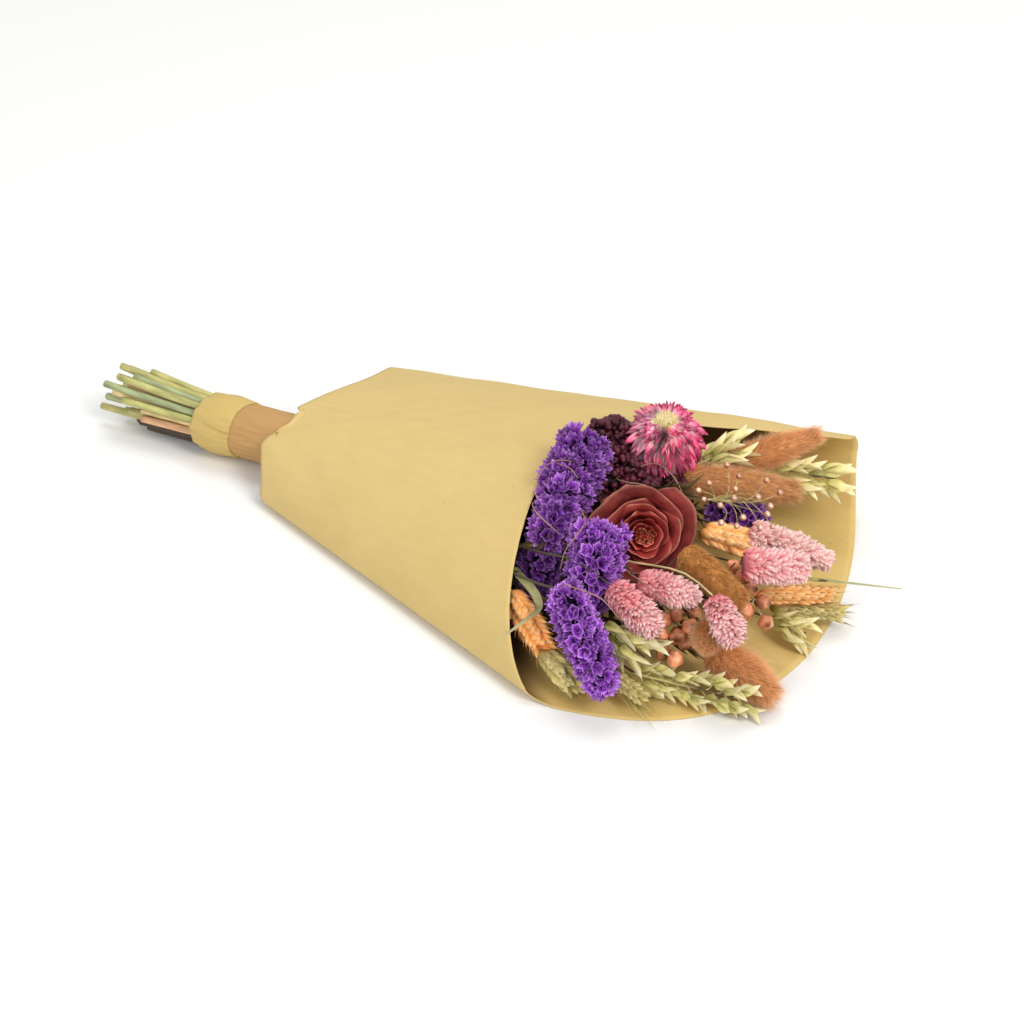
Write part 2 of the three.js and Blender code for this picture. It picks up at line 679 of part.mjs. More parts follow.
function rosePetal(radius, height, wide, flare, foot) {
  const sheet = new THREE.BoxGeometry(1, 1, 1, 4, 2, 1);
  return reshaped(sheet, (x, y, z) => {
    const a = x * wide;
    const v = y + 0.5;
    const crown = 1 - 1.2 * x * x;
    const r = radius * mix(0.35, 1, v ** 0.6) + flare * v ** 4 + z * 1.1;
    return [r * Math.sin(a), -r * Math.cos(a), foot + v * height * mix(1, crown, v)];
  });
}

function roseHead() {
  const room = rooms.rose;
  const pieces = [];
  const bud = [[0, 0], [3, 0], [9, 5], [11, 12], [8, 24], [3.5, 31], [0, 32]];
  pieces.push(new THREE.LatheGeometry(bud.map((p) => new THREE.Vector2(...p)), 7).rotateX(Math.PI / 2));
  for (let i = 0; i < ROSE_PETALS; i += 1) {
    const t = i / (ROSE_PETALS - 1);
    const radius = mix(5.5, 17.5, t);
    const petal = rosePetal(radius, mix(29, 25, t), mix(2.6, 1.9, t), mix(0, 3.5, t), mix(4, 2, t));
    pieces.push(petal.rotateZ(i * 2.3));
  }
  return fuse(placed(pieces, room));
}

// Round seed capsules or beads, each on a fine side branch of its stem
function beadSpray(name, spray) {
  const room = rooms[name];
  const random = seeded(spray.seed);
  const top = room.foot.clone().addScaledVector(room.axis, room.length * spray.to * 0.9);
  const below = room.foot.clone().addScaledVector(room.axis, -2);
  const trunk = tube([below.toArray(), top.toArray()], [1, spray.branchR], 4);
  const local = [];
  for (let i = 0; i < spray.count; i += 1) {
    const h = mix(spray.from, spray.to, (i + 0.5) / spray.count) * room.length;
    const out = Math.max(0, room.radiusAt(h) - spray.beadR) * mix(spray.near, 1, random());
    const angle = i * GOLDEN_ANGLE;
    const bead = vec([Math.cos(angle) * out, Math.sin(angle) * out, h]);
    const root = new THREE.Vector3(0, 0, h - Math.min(out * 0.8, h * 0.7));
    local.push(spray.bead(spray.beadR).translate(bead.x, bead.y, bead.z));
    if (!spray.core && out > spray.beadR + 0.6) {
      const twig = new THREE.CylinderGeometry(spray.branchR, spray.branchR, root.distanceTo(bead), 3);
      twig.rotateX(Math.PI / 2).translate(0, 0, root.distanceTo(bead) / 2);
      local.push(stood(twig, root, bead.clone().sub(root)));
    }
  }
  if (spray.core) {
    local.push(core(room, spray.core, 6, 3, 0.05, 0.9));
  }
  return fuse([stemTube(name, 0), trunk, ...placed(local, room)]);
}

// Wheat ear: plump pointed spikelets in threes round the stalk
const GRAIN_WIDE = 5;
const GRAIN_THICK = 3.4;

function wheatEar(name, rows) {
  const room = rooms[name];
  const pieces = [];
  const stalk = new THREE.CylinderGeometry(0.9, 1.2, room.length * 0.9, 4).rotateX(Math.PI / 2);
  pieces.push(stalk.translate(0, 0, room.length * 0.45 - 1.5));
  for (let i = 0; i < rows; i += 1) {
    const h = mix(0.02, 0.72, i / (rows - 1)) * room.length;
    const r = room.radiusAt(h + 3);
    const tall = Math.min(room.length * 0.98 - h, r * 1.4 + 3);
    for (const side of [0, 1, 2]) {
      const angle = (side * 2 * Math.PI) / 3 + i * (Math.PI / 3);
      const out = new THREE.Vector3(Math.cos(angle), Math.sin(angle), 0);
      const lean = out.clone().multiplyScalar(0.38).add(UP);
      const grain = blade(tall, GRAIN_WIDE, GRAIN_THICK, 0.45);
      pieces.push(stood(grain, out.clone().multiplyScalar(0.4).setZ(h), lean, angle));
    }
  }
  return fuse([...placed(pieces, room), stemTube(name, 0)]);
}

// Oat panicle: pairs of long husks close along the stalk
const HUSK_WIDE = 4;
const HUSK_THICK = 2.2;

function oatPanicle(name, count) {
  const room = rooms[name];
  const pieces = [];
  const stalk = new THREE.CylinderGeometry(0.6, 1, room.length * 0.8, 4).rotateX(Math.PI / 2);
  pieces.push(stalk.translate(0, 0, room.length * 0.4 - 1.5));
  spots(room, count, 0.05, 0.62, 0.3, (p, out, i, angle) => {
    const tall = Math.min(room.length * 0.98 - p.z, room.radiusAt(p.z + 4) * 0.9 + 8);
    for (const side of [-1, 1]) {
      const lean = out.clone().multiplyScalar(0.3 + side * 0.12).add(UP);
      const root = new THREE.Vector3(p.x / 2, p.y / 2, p.z);
      pieces.push(stood(blade(tall, HUSK_WIDE, HUSK_THICK, 0.45), root, lean, angle + side));
    }
  });
  return fuse([...placed(pieces, room), stemTube(name, 0)]);
}

// Thin grass: one straight blade past the mouth, one leaf bent over the near edge
const LEAF_BEND = [[187, -69, 32], [190, -74, 31], [188, -100, 29]];

function grassBlade() {
  const room = rooms.grass_blade;
  const tip = room.foot.clone().addScaledVector(room.axis, room.length);
  const root = room.foot.clone().addScaledVector(room.axis, -2);
  const needle = tube([root.toArray(), tip.toArray()], [0.9, 0.35], 5);
  return fuse([stemTube("grass_blade", 0), needle]);
}

function grassLeaf() {
  const room = rooms.grass_leaf;
  const root = room.foot.clone().addScaledVector(room.axis, -2);
  const leaf = tube([root.toArray(), ...LEAF_BEND], [1.1, 2, 2, 0.8], 4, 0.4);
  return fuse([stemTube("grass_leaf", 0), leaf]);
}

// Assembly
const bouquet = new THREE.Group();
const onTable = new THREE.Group();
onTable.position.set(-REST_X, 0, 0);
bouquet.add(onTable);

function addPiece(name, geometry, color, roughness = 0.85) {
  const mesh = new THREE.Mesh(geometry, new THREE.MeshStandardMaterial({ color, roughness, metalness: 0 }));
  mesh.name = name;
  onTable.add(mesh);
}

addPiece("paper_sleeve", sleeve(), KRAFT, 0.8);
addPiece("stem_wrap_paper", band(WRAP_START_X, BAND_SPLIT_X), KRAFT, 0.8);
addPiece("stem_wrap_tape", band(BAND_SPLIT_X + GAP, TIE_END_X), TAPE, 0.6);
addPiece("rose_petals", roseHead(), ROSE);
addPiece("strawflower_bracts", strawflowerBracts(), MAGENTA);
addPiece("strawflower_disc", strawflowerDisc(), CREAM);
const STATICE = { statice_a: 26, statice_b: 19, statice_c: 17, statice_d: 9, statice_e: 9 };
for (const [name, count] of Object.entries(STATICE)) {
  addPiece(name + "_florets", staticeHead(name, count), VIOLET);
}
for (let i = 1; i <= 5; i += 1) {
  addPiece("lagurus_" + i + "_head", lagurusHead("lagurus_" + i), TAN);
  addPiece("phalaris_" + i + "_head", phalarisHead("phalaris_" + i), PINK);
}
const stemOnly = ["rose", "strawflower", ...Object.keys(STATICE)];
for (let i = 1; i <= 5; i += 1) {
  stemOnly.push("lagurus_" + i, "phalaris_" + i);
}
for (const name of stemOnly) {
  addPiece(name + "_stem", stemTube(name), GREEN);
}
const faceted = (r) => new THREE.IcosahedronGeometry(r, 0);
const round = (r) => new THREE.SphereGeometry(r, 6, 4);
const BERRY = { beadR: 3, branchR: 0.6, near: 0.9, core: 0.55, bead: faceted };
const CAPSULE = { beadR: 3.7, branchR: 0.6, near: 0.85, bead: round };
const WIRE_BEAD = { beadR: 1.6, branchR: 0.35, near: 1, bead: faceted };
const SPRAYS = {
  burgundy_beads: [{ ...BERRY, seed: 3, count: 13, from: 0.1, to: 0.97 }, BURGUNDY],
  flax_1: [{ ...CAPSULE, seed: 5, count: 5, from: 0.35, to: 0.85 }, COPPER],
  flax_2: [{ ...CAPSULE, seed: 6, count: 5, from: 0.3, to: 0.85 }, COPPER],
  flax_3: [{ ...CAPSULE, near: 0, seed: 7, count: 1, from: 0.5, to: 0.6 }, COPPER],
  copper_beads: [{ ...WIRE_BEAD, seed: 8, count: 10, from: 0.05, to: 0.97 }, COPPER],
};
for (const [name, [spray, color]] of Object.entries(SPRAYS)) {
  addPiece(name, beadSpray(name, spray), color, 0.6);
}
for (let i = 1; i <= 3; i += 1) {
  addPiece("orange_wheat_" + i, wheatEar("orange_wheat_" + i, 4), ORANGE);
  addPiece("green_wheat_" + i, wheatEar("green_wheat_" + i, 3), STRAW);
}
for (let i = 1; i <= 5; i += 1) {
  addPiece("oats_" + i, oatPanicle("oats_" + i, i === 5 ? 8 : 5), GREEN);
}
addPiece("grass_blade", grassBlade(), GREEN);
addPiece("grass_leaf", grassLeaf(), GREEN);

export default bouquet;
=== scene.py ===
# %% [markdown]
# # A dried bouquet in a paper sleeve
# The imported model is loaded first and stays where it is. Every flower, stem and sheet made below is laid
# over its own solid of that model, so nothing has to be fitted by hand. We keep the model's box.

# %% Load the imported bouquet
import functools
import math

import bpy
import numpy as np
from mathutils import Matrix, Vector


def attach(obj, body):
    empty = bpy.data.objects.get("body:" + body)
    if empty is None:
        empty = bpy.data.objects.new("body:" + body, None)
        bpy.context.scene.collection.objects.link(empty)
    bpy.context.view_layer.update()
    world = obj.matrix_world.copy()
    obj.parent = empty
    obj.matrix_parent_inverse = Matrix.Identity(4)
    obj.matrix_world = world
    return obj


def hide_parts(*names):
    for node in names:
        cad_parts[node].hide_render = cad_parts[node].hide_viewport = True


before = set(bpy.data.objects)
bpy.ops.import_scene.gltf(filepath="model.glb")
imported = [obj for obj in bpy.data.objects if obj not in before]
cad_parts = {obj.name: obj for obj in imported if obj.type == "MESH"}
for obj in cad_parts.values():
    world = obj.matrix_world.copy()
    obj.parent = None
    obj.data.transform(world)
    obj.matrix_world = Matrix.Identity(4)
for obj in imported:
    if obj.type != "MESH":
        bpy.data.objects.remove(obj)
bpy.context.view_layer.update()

# %% [markdown]
# ## Measuring along the sleeve
# A florist measures a sleeve in millimetres from its narrow end, and so do we. The model's own origin
# lies 100 mm further in, under the middle of the paper, so one small function changes from the one to
# the other when a mesh is made. Plants are full of turns, so a few more helpers give the steps of a full
# turn, points round an axis, the spokes of a wheel, and the spiral in which a sunflower lays its seeds.

# %% Millimetres from the narrow end
MM = 0.001
REST_X = 100.0
UP = np.array([0.0, 0.0, 1.0])
FULL_TURN = 2 * math.pi
GOLDEN_ANGLE = math.pi * (3 - math.sqrt(5))


def to_row(points):
    row = np.array(points, float).reshape(-1, 3)
    row[:, 0] -= REST_X
    return row * MM


def from_row(points):
    inner = np.array(points, float).reshape(-1, 3) / MM
    inner[:, 0] += REST_X
    return inner


def unit(v):
    v = np.asarray(v, float)
    return v / np.maximum(np.linalg.norm(v, axis=-1, keepdims=True), 1e-9)


def mix(a, b, t):
    return a + (b - a) * t


def round_steps(count):
    return np.linspace(0, FULL_TURN, count, endpoint=False)


def round_points(r, angle, z):
    return np.stack([r * np.cos(angle), r * np.sin(angle), z + 0 * angle], -1).reshape(-1, 3)


def spokes(angle):
    return np.stack([np.cos(angle), np.sin(angle), 0 * angle], -1)


def sunflower(count):
    share = np.sqrt((np.arange(count) + 0.5) / count)
    return share, spokes(np.arange(count) * GOLDEN_ANGLE)


print("the paper starts at x =", to_row([0, 0, 0])[0][0], "m")

# %% [markdown]
# ## A pile of small shapes
# A flower head is hundreds of like shapes: bracts, scales, hairs. Blender could copy an object for
# each, but that is slow, and instances are lost when the model is saved elsewhere. So we gather all the
# points of a head in one mesh. Every point also keeps two numbers that the materials read: how far
# along its petal or hair it lies, and a number that the whole petal shares, for a shade of its own.

# %% The pile
LEAST_Z = 0.00005


class Pile:
    def __init__(self):
        self.parts = []
        self.count = 0

    def add(self, points, faces, along=0.0, own=0.0, slot=0):
        points = np.asarray(points, float).reshape(-1, 3)
        n = len(points)
        along = np.broadcast_to(along, n)
        own = np.broadcast_to(own, n)
        self.parts.append((points, np.asarray(faces, int) + self.count, along, own, slot))
        self.base = self.count
        self.count += n

    def more(self, faces, slot=0):
        self.parts.append((np.zeros((0, 3)), faces + self.base, np.zeros(0), np.zeros(0), slot))

    def scatter(self, shape, origins, frames, sizes, own, slot=0):
        local, faces, along = shape
        n, k = len(origins), len(local)
        points = origins[:, None, :] + np.einsum("ka,na,nac->nkc", local, sizes, frames)
        every = (faces[None] + (np.arange(n) * k)[:, None, None]).reshape(-1, faces.shape[1])
        self.add(points, every, np.tile(along, n), np.repeat(own, k), slot)

    def piece(self, name, finishes, replaces, slot):
        places, faces, alongs, owns, slots = zip(*self.parts)
        points = to_row(np.concatenate(places))
        points[:, 2] = np.maximum(points[:, 2], LEAST_Z)
        corners = np.concatenate([f.ravel() for f in faces])
        sides = np.concatenate([np.full(len(f), f.shape[1]) for f in faces])
        finish_of = np.concatenate([np.full(len(f), s) for f, s in zip(faces, slots)])
        mesh = bpy.data.meshes.new(name)
        mesh.vertices.add(len(points))
        mesh.vertices.foreach_set("co", points.ravel())
        mesh.loops.add(len(corners))
        mesh.loops.foreach_set("vertex_index", corners)
        mesh.polygons.add(len(sides))
        mesh.polygons.foreach_set("loop_start", np.concatenate([[0], np.cumsum(sides)[:-1]]))
        mesh.polygons.foreach_set("material_index", finish_of)
        mesh.polygons.foreach_set("use_smooth", np.ones(len(sides), bool))
        for label, numbers in (("along", alongs), ("own", owns)):
            values = mesh.attributes.new(label, "FLOAT", "POINT").data
            values.foreach_set("value", np.concatenate(numbers))
        mesh.update(calc_edges=True)
        for finish in finishes:
            mesh.materials.append(finish)
        piece = bpy.data.objects.new(name, mesh)
        bpy.context.scene.collection.objects.link(piece)
        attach(piece, "root")
        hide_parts(*replaces)
        print(name, "has", int((sides - 2).sum()), "triangles")
        return piece


# %% [markdown]
# ## Three basic forms
# Nearly everything that grows here is a leaf, a grain or a hair. A leaf is a grid whose width swells
# and closes again, folded along its middle. A grain is the same outline turned round its axis. A hair
# is a grain with three sides. Each is made once, one unit long and wide, and then laid out by frames of
# three directions, across, outward and along, with a size for each.

# %% Leaf, grain and hair


def grid_faces(across, rows, closed=False):
    i, j = np.meshgrid(np.arange(across if closed else across - 1), np.arange(rows - 1))
    a = j * across + i
    b = j * across + (i + 1) % across
    return np.stack([a, b, b + across, a + across], -1).reshape(-1, 4)


def belly(v, widest, sharp, least=0.03):
    bent = np.clip(v, 0, 1) ** (math.log(0.5) / math.log(widest))
    return np.maximum(np.abs(np.sin(math.pi * bent)) ** sharp, least)


def leaf(widest, sharp, keel=0.3, curl=0.0, hollow=0.0, across=5, rows=7):
    u, v = np.meshgrid(np.linspace(-1, 1, across), np.linspace(0, 1, rows))
    half = 0.5 * belly(v, widest, sharp)
    y = -keel * half * np.abs(u) ** 1.3 + curl * v**2 + hollow * np.sin(math.pi * v)
    points = np.stack([u * half, y, v], -1).reshape(-1, 3)
    return points, grid_faces(across, rows), v.ravel()


def grain(widest, sharp, around, rows, flat=1.0, curl=0.0):
    angle, v = np.meshgrid(round_steps(around), np.linspace(0, 1, rows))
    half = 0.5 * belly(v, widest, sharp)
    points = np.stack([half * np.cos(angle), half * flat * np.sin(angle) + curl * v**2, v], -1)
    return points.reshape(-1, 3), grid_faces(around, rows, True), v.ravel()


def hair(curl, rows):
    angle, v = np.meshgrid(np.arange(3) * FULL_TURN / 3, np.linspace(0, 1, rows))
    half = 0.5 * (1 - 0.93 * v)
    points = np.stack([half * np.cos(angle), half * np.sin(angle) + curl * v**2, v], -1)
    return points.reshape(-1, 3), grid_faces(3, rows, True), v.ravel()


def frames_of(along, out, twist=None):
    along = unit(along)
    across = unit(np.cross(out, along))
    out = np.cross(along, across)
    if twist is not None:
        c, s = np.cos(twist)[:, None], np.sin(twist)[:, None]
        across, out = across * c + out * s, out * c - across * s
    return np.stack([across, out, along], 1)


def sized(wide, deep, long):
    return np.stack(np.broadcast_arrays(wide, deep, long), -1)


print("one leaf has", len(leaf(0.5, 1.0)[1]), "faces")

# %% [markdown]
# ## Round tubes for stems and wires
# A stem bends gently, so a few points along it are enough: a curve is run through them and the tube is
# laid on that curve. We could use Blender's own curve objects, but in a pile the stem and the head it
# carries stay one piece. A cut stem is a straw, so its end is pushed in a little.

# %% Tubes
STRAW_HOLLOW, STRAW_BORE = 2, np.array([0.35, 0.62])


def smooth_line(knots, radii, samples):
    knots = np.asarray(knots, float)
    radii = np.asarray(radii, float)
    reach = np.concatenate([[0], np.cumsum(np.linalg.norm(np.diff(knots, axis=0), axis=1))])
    slope = np.gradient(knots, reach, axis=0)
    at = np.linspace(0, reach[-1], samples)
    k = np.clip(np.searchsorted(reach, at, side="right") - 1, 0, len(knots) - 2)
    span = (reach[k + 1] - reach[k])[:, None]
    t = (at[:, None] - reach[k][:, None]) / span
    a = knots[k] * (2 * t**3 - 3 * t**2 + 1) + knots[k + 1] * (3 * t**2 - 2 * t**3)
    b = slope[k] * span * (t**3 - 2 * t**2 + t) + slope[k + 1] * span * (t**3 - t**2)
    return a + b, np.interp(at, reach, radii)


def tube(line, radii, sides, ribs=0, depth=0.0, straw=False):
    line = np.asarray(line, float)
    radii = np.asarray(radii, float)
    ahead = unit(np.gradient(line, axis=0))
    upright = np.abs(ahead[:, 2:]) > 0.95
    side = unit(np.cross(ahead, np.where(upright, [[1.0, 0, 0]], UP[None])))
    lift = np.cross(side, ahead)
    if straw:
        line = np.concatenate([line[:1] + ahead[:1] * STRAW_HOLLOW, line[:1], line])
        side = np.concatenate([side[:1], side[:1], side])
        lift = np.concatenate([lift[:1], lift[:1], lift])
        radii = np.concatenate([radii[0] * STRAW_BORE, radii])
    angle = round_steps(sides)
    swell = 1 + depth * np.cos(ribs * angle)
    aside, upward = np.cos(angle) * swell, np.sin(angle) * swell
    ring = side[:, None] * aside[:, None] - lift[:, None] * upward[:, None]
    points = line[:, None] + radii[:, None, None] * ring
    along = np.repeat(np.linspace(0, 1, len(line)), sides)
    if straw:
        along[: 2 * sides] = 0
    return points.reshape(-1, 3), grid_faces(sides, len(line), True), along


straight = np.linspace([0, 0, 0], [0, 0, 80.0], 9)
print("a tube of 9 rings has", len(tube(straight, np.ones(9), 8)[0]), "points")

# %% [markdown]
# ## The room of each head
# In the real bouquet every head presses its neighbours aside and has a space of its own. The model
# keeps that as a round-ended room: where it begins, where it ends and how thick it is at its base,
# middle and tip. The same numbers place our detailed heads.

# %% Where the heads are
ROOMS = {
    "rose": [(193, -2, 39), (199, -8, 43), (12, 22, 22)],
    "strawflower": [(174, 42, 60), (174.6, 41.4, 63), (8, 19, 19)],
    "statice_a": [(169, -39, 49), (157, 2, 69), (9, 13, 13)],
    "statice_b": [(204, -54, 39), (199, -42, 56), (9, 12, 12)],
    "statice_c": [(207, -72, 41), (230, -81, 20), (9, 9.5, 7)],
    "statice_d": [(165, -39, 32), (169, -48, 26), (7, 7.5, 6)],
    "statice_e": [(205, 52, 28), (219, 52, 30), (6, 8, 6)],
    "burgundy_beads": [(163, 20, 52), (148, 26, 65), (8, 9, 7)],
    "lagurus_1": [(195, 73, 42), (223, 96, 57), (6, 7, 4)],
    "lagurus_2": [(193, 42, 47), (228, 68, 42), (7, 7.5, 6)],
    "lagurus_3": [(231, -15, 46), (253, -15, 37), (7, 7.5, 6.5)],
    "lagurus_4": [(254, -35, 28), (260, -44, 31), (7, 8, 6)],
    "lagurus_5": [(260, -31, 14), (282, -32, 9), (8.5, 9.5, 6)],
    "phalaris_1": [(232, 34, 36), (262, 46, 29), (7, 8, 4.5)],
    "phalaris_2": [(252, -2, 46), (269, 15, 42), (7.5, 8.5, 6)],
    "phalaris_3": [(260, -38, 47), (273, -44, 39), (6, 8, 5)],
    "phalaris_4": [(226, -42, 46), (244, -34, 42), (6.5, 8, 4)],
    "phalaris_5": [(220, -55, 45), (240, -57, 37), (6.5, 8.5, 5)],
    "flax_1": [(233, -32, 25), (243, -33, 18), (6, 9, 7)],
    "flax_2": [(248, 6, 27), (260, -1, 23), (5, 8, 6)],
    "flax_3": [(246, -51, 20), (249, -51, 20), (4, 4, 4)],
    "copper_beads": [(217, 23, 54), (237, 42, 50), (3, 3, 3)],
    "orange_wheat_1": [(207, 32, 28), (234, 42, 25), (5, 6.5, 4)],
    "orange_wheat_2": [(162, -56, 19), (188, -68, 11), (5, 6.5, 4)],
    "orange_wheat_3": [(250, 14, 20), (272, 36, 18), (4.5, 5, 3)],
    "green_wheat_1": [(195, -74, 11), (212, -80, 9), (4.5, 6, 4)],
    "green_wheat_2": [(253, 24, 10), (275, 39, 8), (4.5, 5.5, 4)],
    "green_wheat_3": [(225, -65, 10), (241, -69, 9), (3.5, 4.5, 3)],
    "oats_1": [(221, -61, 28), (242, -59, 20), (5, 7, 4)],
    "oats_2": [(210, 91, 36), (239, 110, 32), (4.5, 5.5, 3.5)],
    "oats_3": [(189, 59, 49), (201, 75, 56), (4, 6, 4)],
    "oats_4": [(259, 14, 10), (277, 17, 8), (3, 4.5, 3)],
    "oats_5": [(239, -59, 11), (286, -43, 10), (5, 6.5, 5)],
    "grass_blade": [(262, 37, 22), (296, 62, 18), (1, 1, 1)],
    "grass_leaf": [(164, -56, 33), (186, -68, 32), (2, 2, 2)],
}
print(len(ROOMS), "heads have a room")

# %% One room
FOOT_SHARE = 0.85
TOP_SHARE = 0.95
LEAST_CORE = 0.3
OPEN_SIDE = unit(np.array([0.537, -0.659, 0.527]))


class Room:
    def __init__(self, name, grow=1.0):
        base, tip, radii = ROOMS[name]
        base, tip = np.array(base, float), np.array(tip, float)
        self.radii = np.array(radii, float)
        self.span = np.linalg.norm(tip - base)
        self.axis = unit(tip - base)
        self.foot = base - self.axis * self.radii[0] * FOOT_SHARE
        self.length = self.radii[0] * FOOT_SHARE + self.span + self.radii[2] * TOP_SHARE
        self.grow = grow
        self.face(UP)

    def face(self, direction):
        self.side = unit(np.cross(direction, self.axis))
        self.front = np.cross(self.axis, self.side)

    def radius(self, h):
        s = (np.asarray(h, float) - self.radii[0] * FOOT_SHARE) / self.span
        plain = np.interp(s, [0, 0.5, 1], self.radii)
        below = np.maximum(0, -s) * self.span / self.radii[0]
        above = np.maximum(0, s - 1) * self.span / self.radii[2]
        return self.grow * plain * np.sqrt(np.maximum(0, 1 - below**2 - above**2))

    def turn(self, v):
        v = np.asarray(v, float)
        return v[..., :1] * self.side + v[..., 1:2] * self.front + v[..., 2:] * self.axis

    def world(self, v):
        return self.foot + self.turn(v)

    def spots(self, count, start, end, reach, random, jitter=0.3):
        h = np.linspace(start, end, 60) * self.length
        share = np.cumsum(self.radius(h) + 0.5)
        at = np.interp((np.arange(count) + 0.5) / count * share[-1], share, h)
        angle = np.arange(count) * GOLDEN_ANGLE + random.uniform(-jitter, jitter, count)
        out = spokes(angle)
        return out * (self.radius(at) * reach)[:, None] + at[:, None] * UP, out, at / self.length

    def cap(self, count, at, reach, bulge):
        share, out = sunflower(count)
        out = out * share[:, None]
        spots = out * float(self.radius(at * self.length)) * reach
        return spots + UP * (at * self.length + bulge * (1 - share**2))[:, None], out

    def core(self, share, top=0.96, sides=16, rings=12, low=0.01):
        h = np.concatenate([[low], np.linspace(low, top, rings), [top]]) * self.length
        angle, height = np.meshgrid(round_steps(sides), h)
        r = np.maximum(self.radius(height) * share, LEAST_CORE)
        r = r * np.clip((top + 0.04 - height / self.length) / 0.12, 0.1, 1)
        r[0] = r[-1] = 0.02
        return self.world(round_points(r, angle, height)), grid_faces(sides, len(h), True)


print("the rose's room is", round(Room("rose").length, 1), "mm long")

# %% [markdown]
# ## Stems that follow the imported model
# In the model each stem is a five-sided tube that bends past its neighbours. We read the rings of that
# tube in order, starting at the cut end and going from each ring to the points it touches, and lay a
# round, ribbed stem along their middles. So our stems lie exactly where the solid ones do.

# %% The line of a stem
END_FACE_X = -90.0
FOOT_IS_NEAR = 1.5
STEM_X, STEM_SHARE = [-80, -60, 60, 150, 195], [1.13, 1.0, 1.0, 0.55, 0.38]


@functools.lru_cache(maxsize=None)
def stem_line(node, head):
    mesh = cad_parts[node].data
    points = from_row([v.co for v in mesh.vertices])
    keys, same = np.unique(np.round(points, 2), axis=0, return_inverse=True)
    same = same.ravel()
    beside = [set() for _ in keys]
    for polygon in mesh.polygons:
        corners = [same[i] for i in polygon.vertices]
        for a, b in zip(corners, corners[1:] + corners[:1]):
            beside[a].add(b)
            beside[b].add(a)
    end = np.flatnonzero(keys[:, 0] < END_FACE_X)
    middle = end[np.argmin(np.linalg.norm(keys[end] - keys[end].mean(0), axis=1))]
    seen, layer, knots, radii = {middle}, {middle}, [], []
    while True:
        layer = set().union(*(beside[i] for i in layer)) - seen
        if len(layer) != 5:
            break
        seen |= layer
        ring = keys[sorted(layer)]
        knots.append(ring.mean(0))
        radii.append(np.linalg.norm(ring - ring.mean(0), axis=1).mean())
    foot = Room(head).foot
    if np.linalg.norm(knots[-1] - foot) > FOOT_IS_NEAR:
        knots.append(foot)
        radii.append(radii[-1])
    knots[-1] = foot
    knots = np.array(knots)
    eased = knots.copy()
    eased[3:-1] = 0.5 * knots[3:-1] + 0.25 * (knots[2:-2] + knots[4:])
    return eased, np.array(radii)


def add_stem(pile, node, head, own, sink=0.5, lit=1.0):
    knots, radii = stem_line(node, head)
    line, thick = smooth_line(knots, radii, 44)
    line[-1] = line[-1] + Room(head).axis * sink
    thick = thick * np.interp(line[:, 0], STEM_X, STEM_SHARE)
    points, faces, along = tube(line, thick, 10, ribs=5, depth=0.05, straw=True)
    pile.add(points, faces, along * lit, own)
    return line, thick


lengths = [len(stem_line(n, n[:-5])[0]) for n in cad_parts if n.endswith("_stem")]
print(len(lengths), "bare stems with", min(lengths), "to", max(lengths), "rings each")

# %% [markdown]
# ## Finishes for dried plants
# Dried petals are matt, a little translucent and never one colour: pale or dark at the root, bleached
# at the rim, mottled all over. One function builds such a finish. It reads the place along the petal
# for the main colours, the petal's own number for its shade, and noise for the mottling and the bump.

# %% Small steps of a finish


def feed(tree, made, inputs):
    for key, value in inputs.items():
        socket = made.inputs[key]
        if isinstance(value, bpy.types.NodeSocket):
            tree.links.new(value, socket)
        else:
            socket.default_value = (*value, 1) if socket.type == "RGBA" else value


def node(tree, kind, inputs=None, **settings):
    made = tree.nodes.new(kind)
    for key, value in settings.items():
        setattr(made, key, value)
    feed(tree, made, inputs or {})
    return made


def colour_ramp(tree, fac, stops):
    ramp = node(tree, "ShaderNodeValToRGB", {"Fac": fac})
    while len(ramp.color_ramp.elements) < len(stops):
        ramp.color_ramp.elements.new(0.5)
    for element, (position, colour) in zip(ramp.color_ramp.elements, stops):
        element.position = position
        element.color = (*colour, 1)
    return ramp.outputs["Color"]


def noise_at(tree, scale, detail=3.0, stretch=None):
    place = node(tree, "ShaderNodeTexCoord").outputs["Object"]
    if stretch:
        place = node(tree, "ShaderNodeMapping", {"Vector": place, "Scale": stretch}).outputs["Vector"]
    noise = node(tree, "ShaderNodeTexNoise", {"Vector": place, "Scale": scale, "Detail": detail})
    return noise.outputs["Fac"]


def mapped(tree, value, low, high, start=0.0, end=1.0):
    ends = {"From Min": start, "From Max": end, "To Min": low, "To Max": high}
    return node(tree, "ShaderNodeMapRange", {"Value": value, **ends}).outputs["Result"]


def mixed(tree, fac, a, b):
    return node(tree, "ShaderNodeMix", {0: fac, 6: a, 7: b}, data_type="RGBA").outputs[2]


def shaded(tree, colour, value):
    return node(tree, "ShaderNodeHueSaturation", {"Value": value, "Color": colour}).outputs["Color"]


def bumped(tree, shader, height, strength, distance):
    bump = node(tree, "ShaderNodeBump", {"Height": height, "Strength": strength, "Distance": distance})
    feed(tree, shader, {"Normal": bump.outputs["Normal"]})


def reads(tree, label):
    return node(tree, "ShaderNodeAttribute", attribute_name=label).outputs["Fac"]


def new_finish(name):
    finish = bpy.data.materials.new(name)
    finish.use_nodes = True
    return finish, finish.node_tree, finish.node_tree.nodes["Principled BSDF"]


print("ready: colour_ramp, noise_at, mapped, mixed, shaded, bumped and reads")

# %% A plant finish
PETAL_BUMP = 0.0006


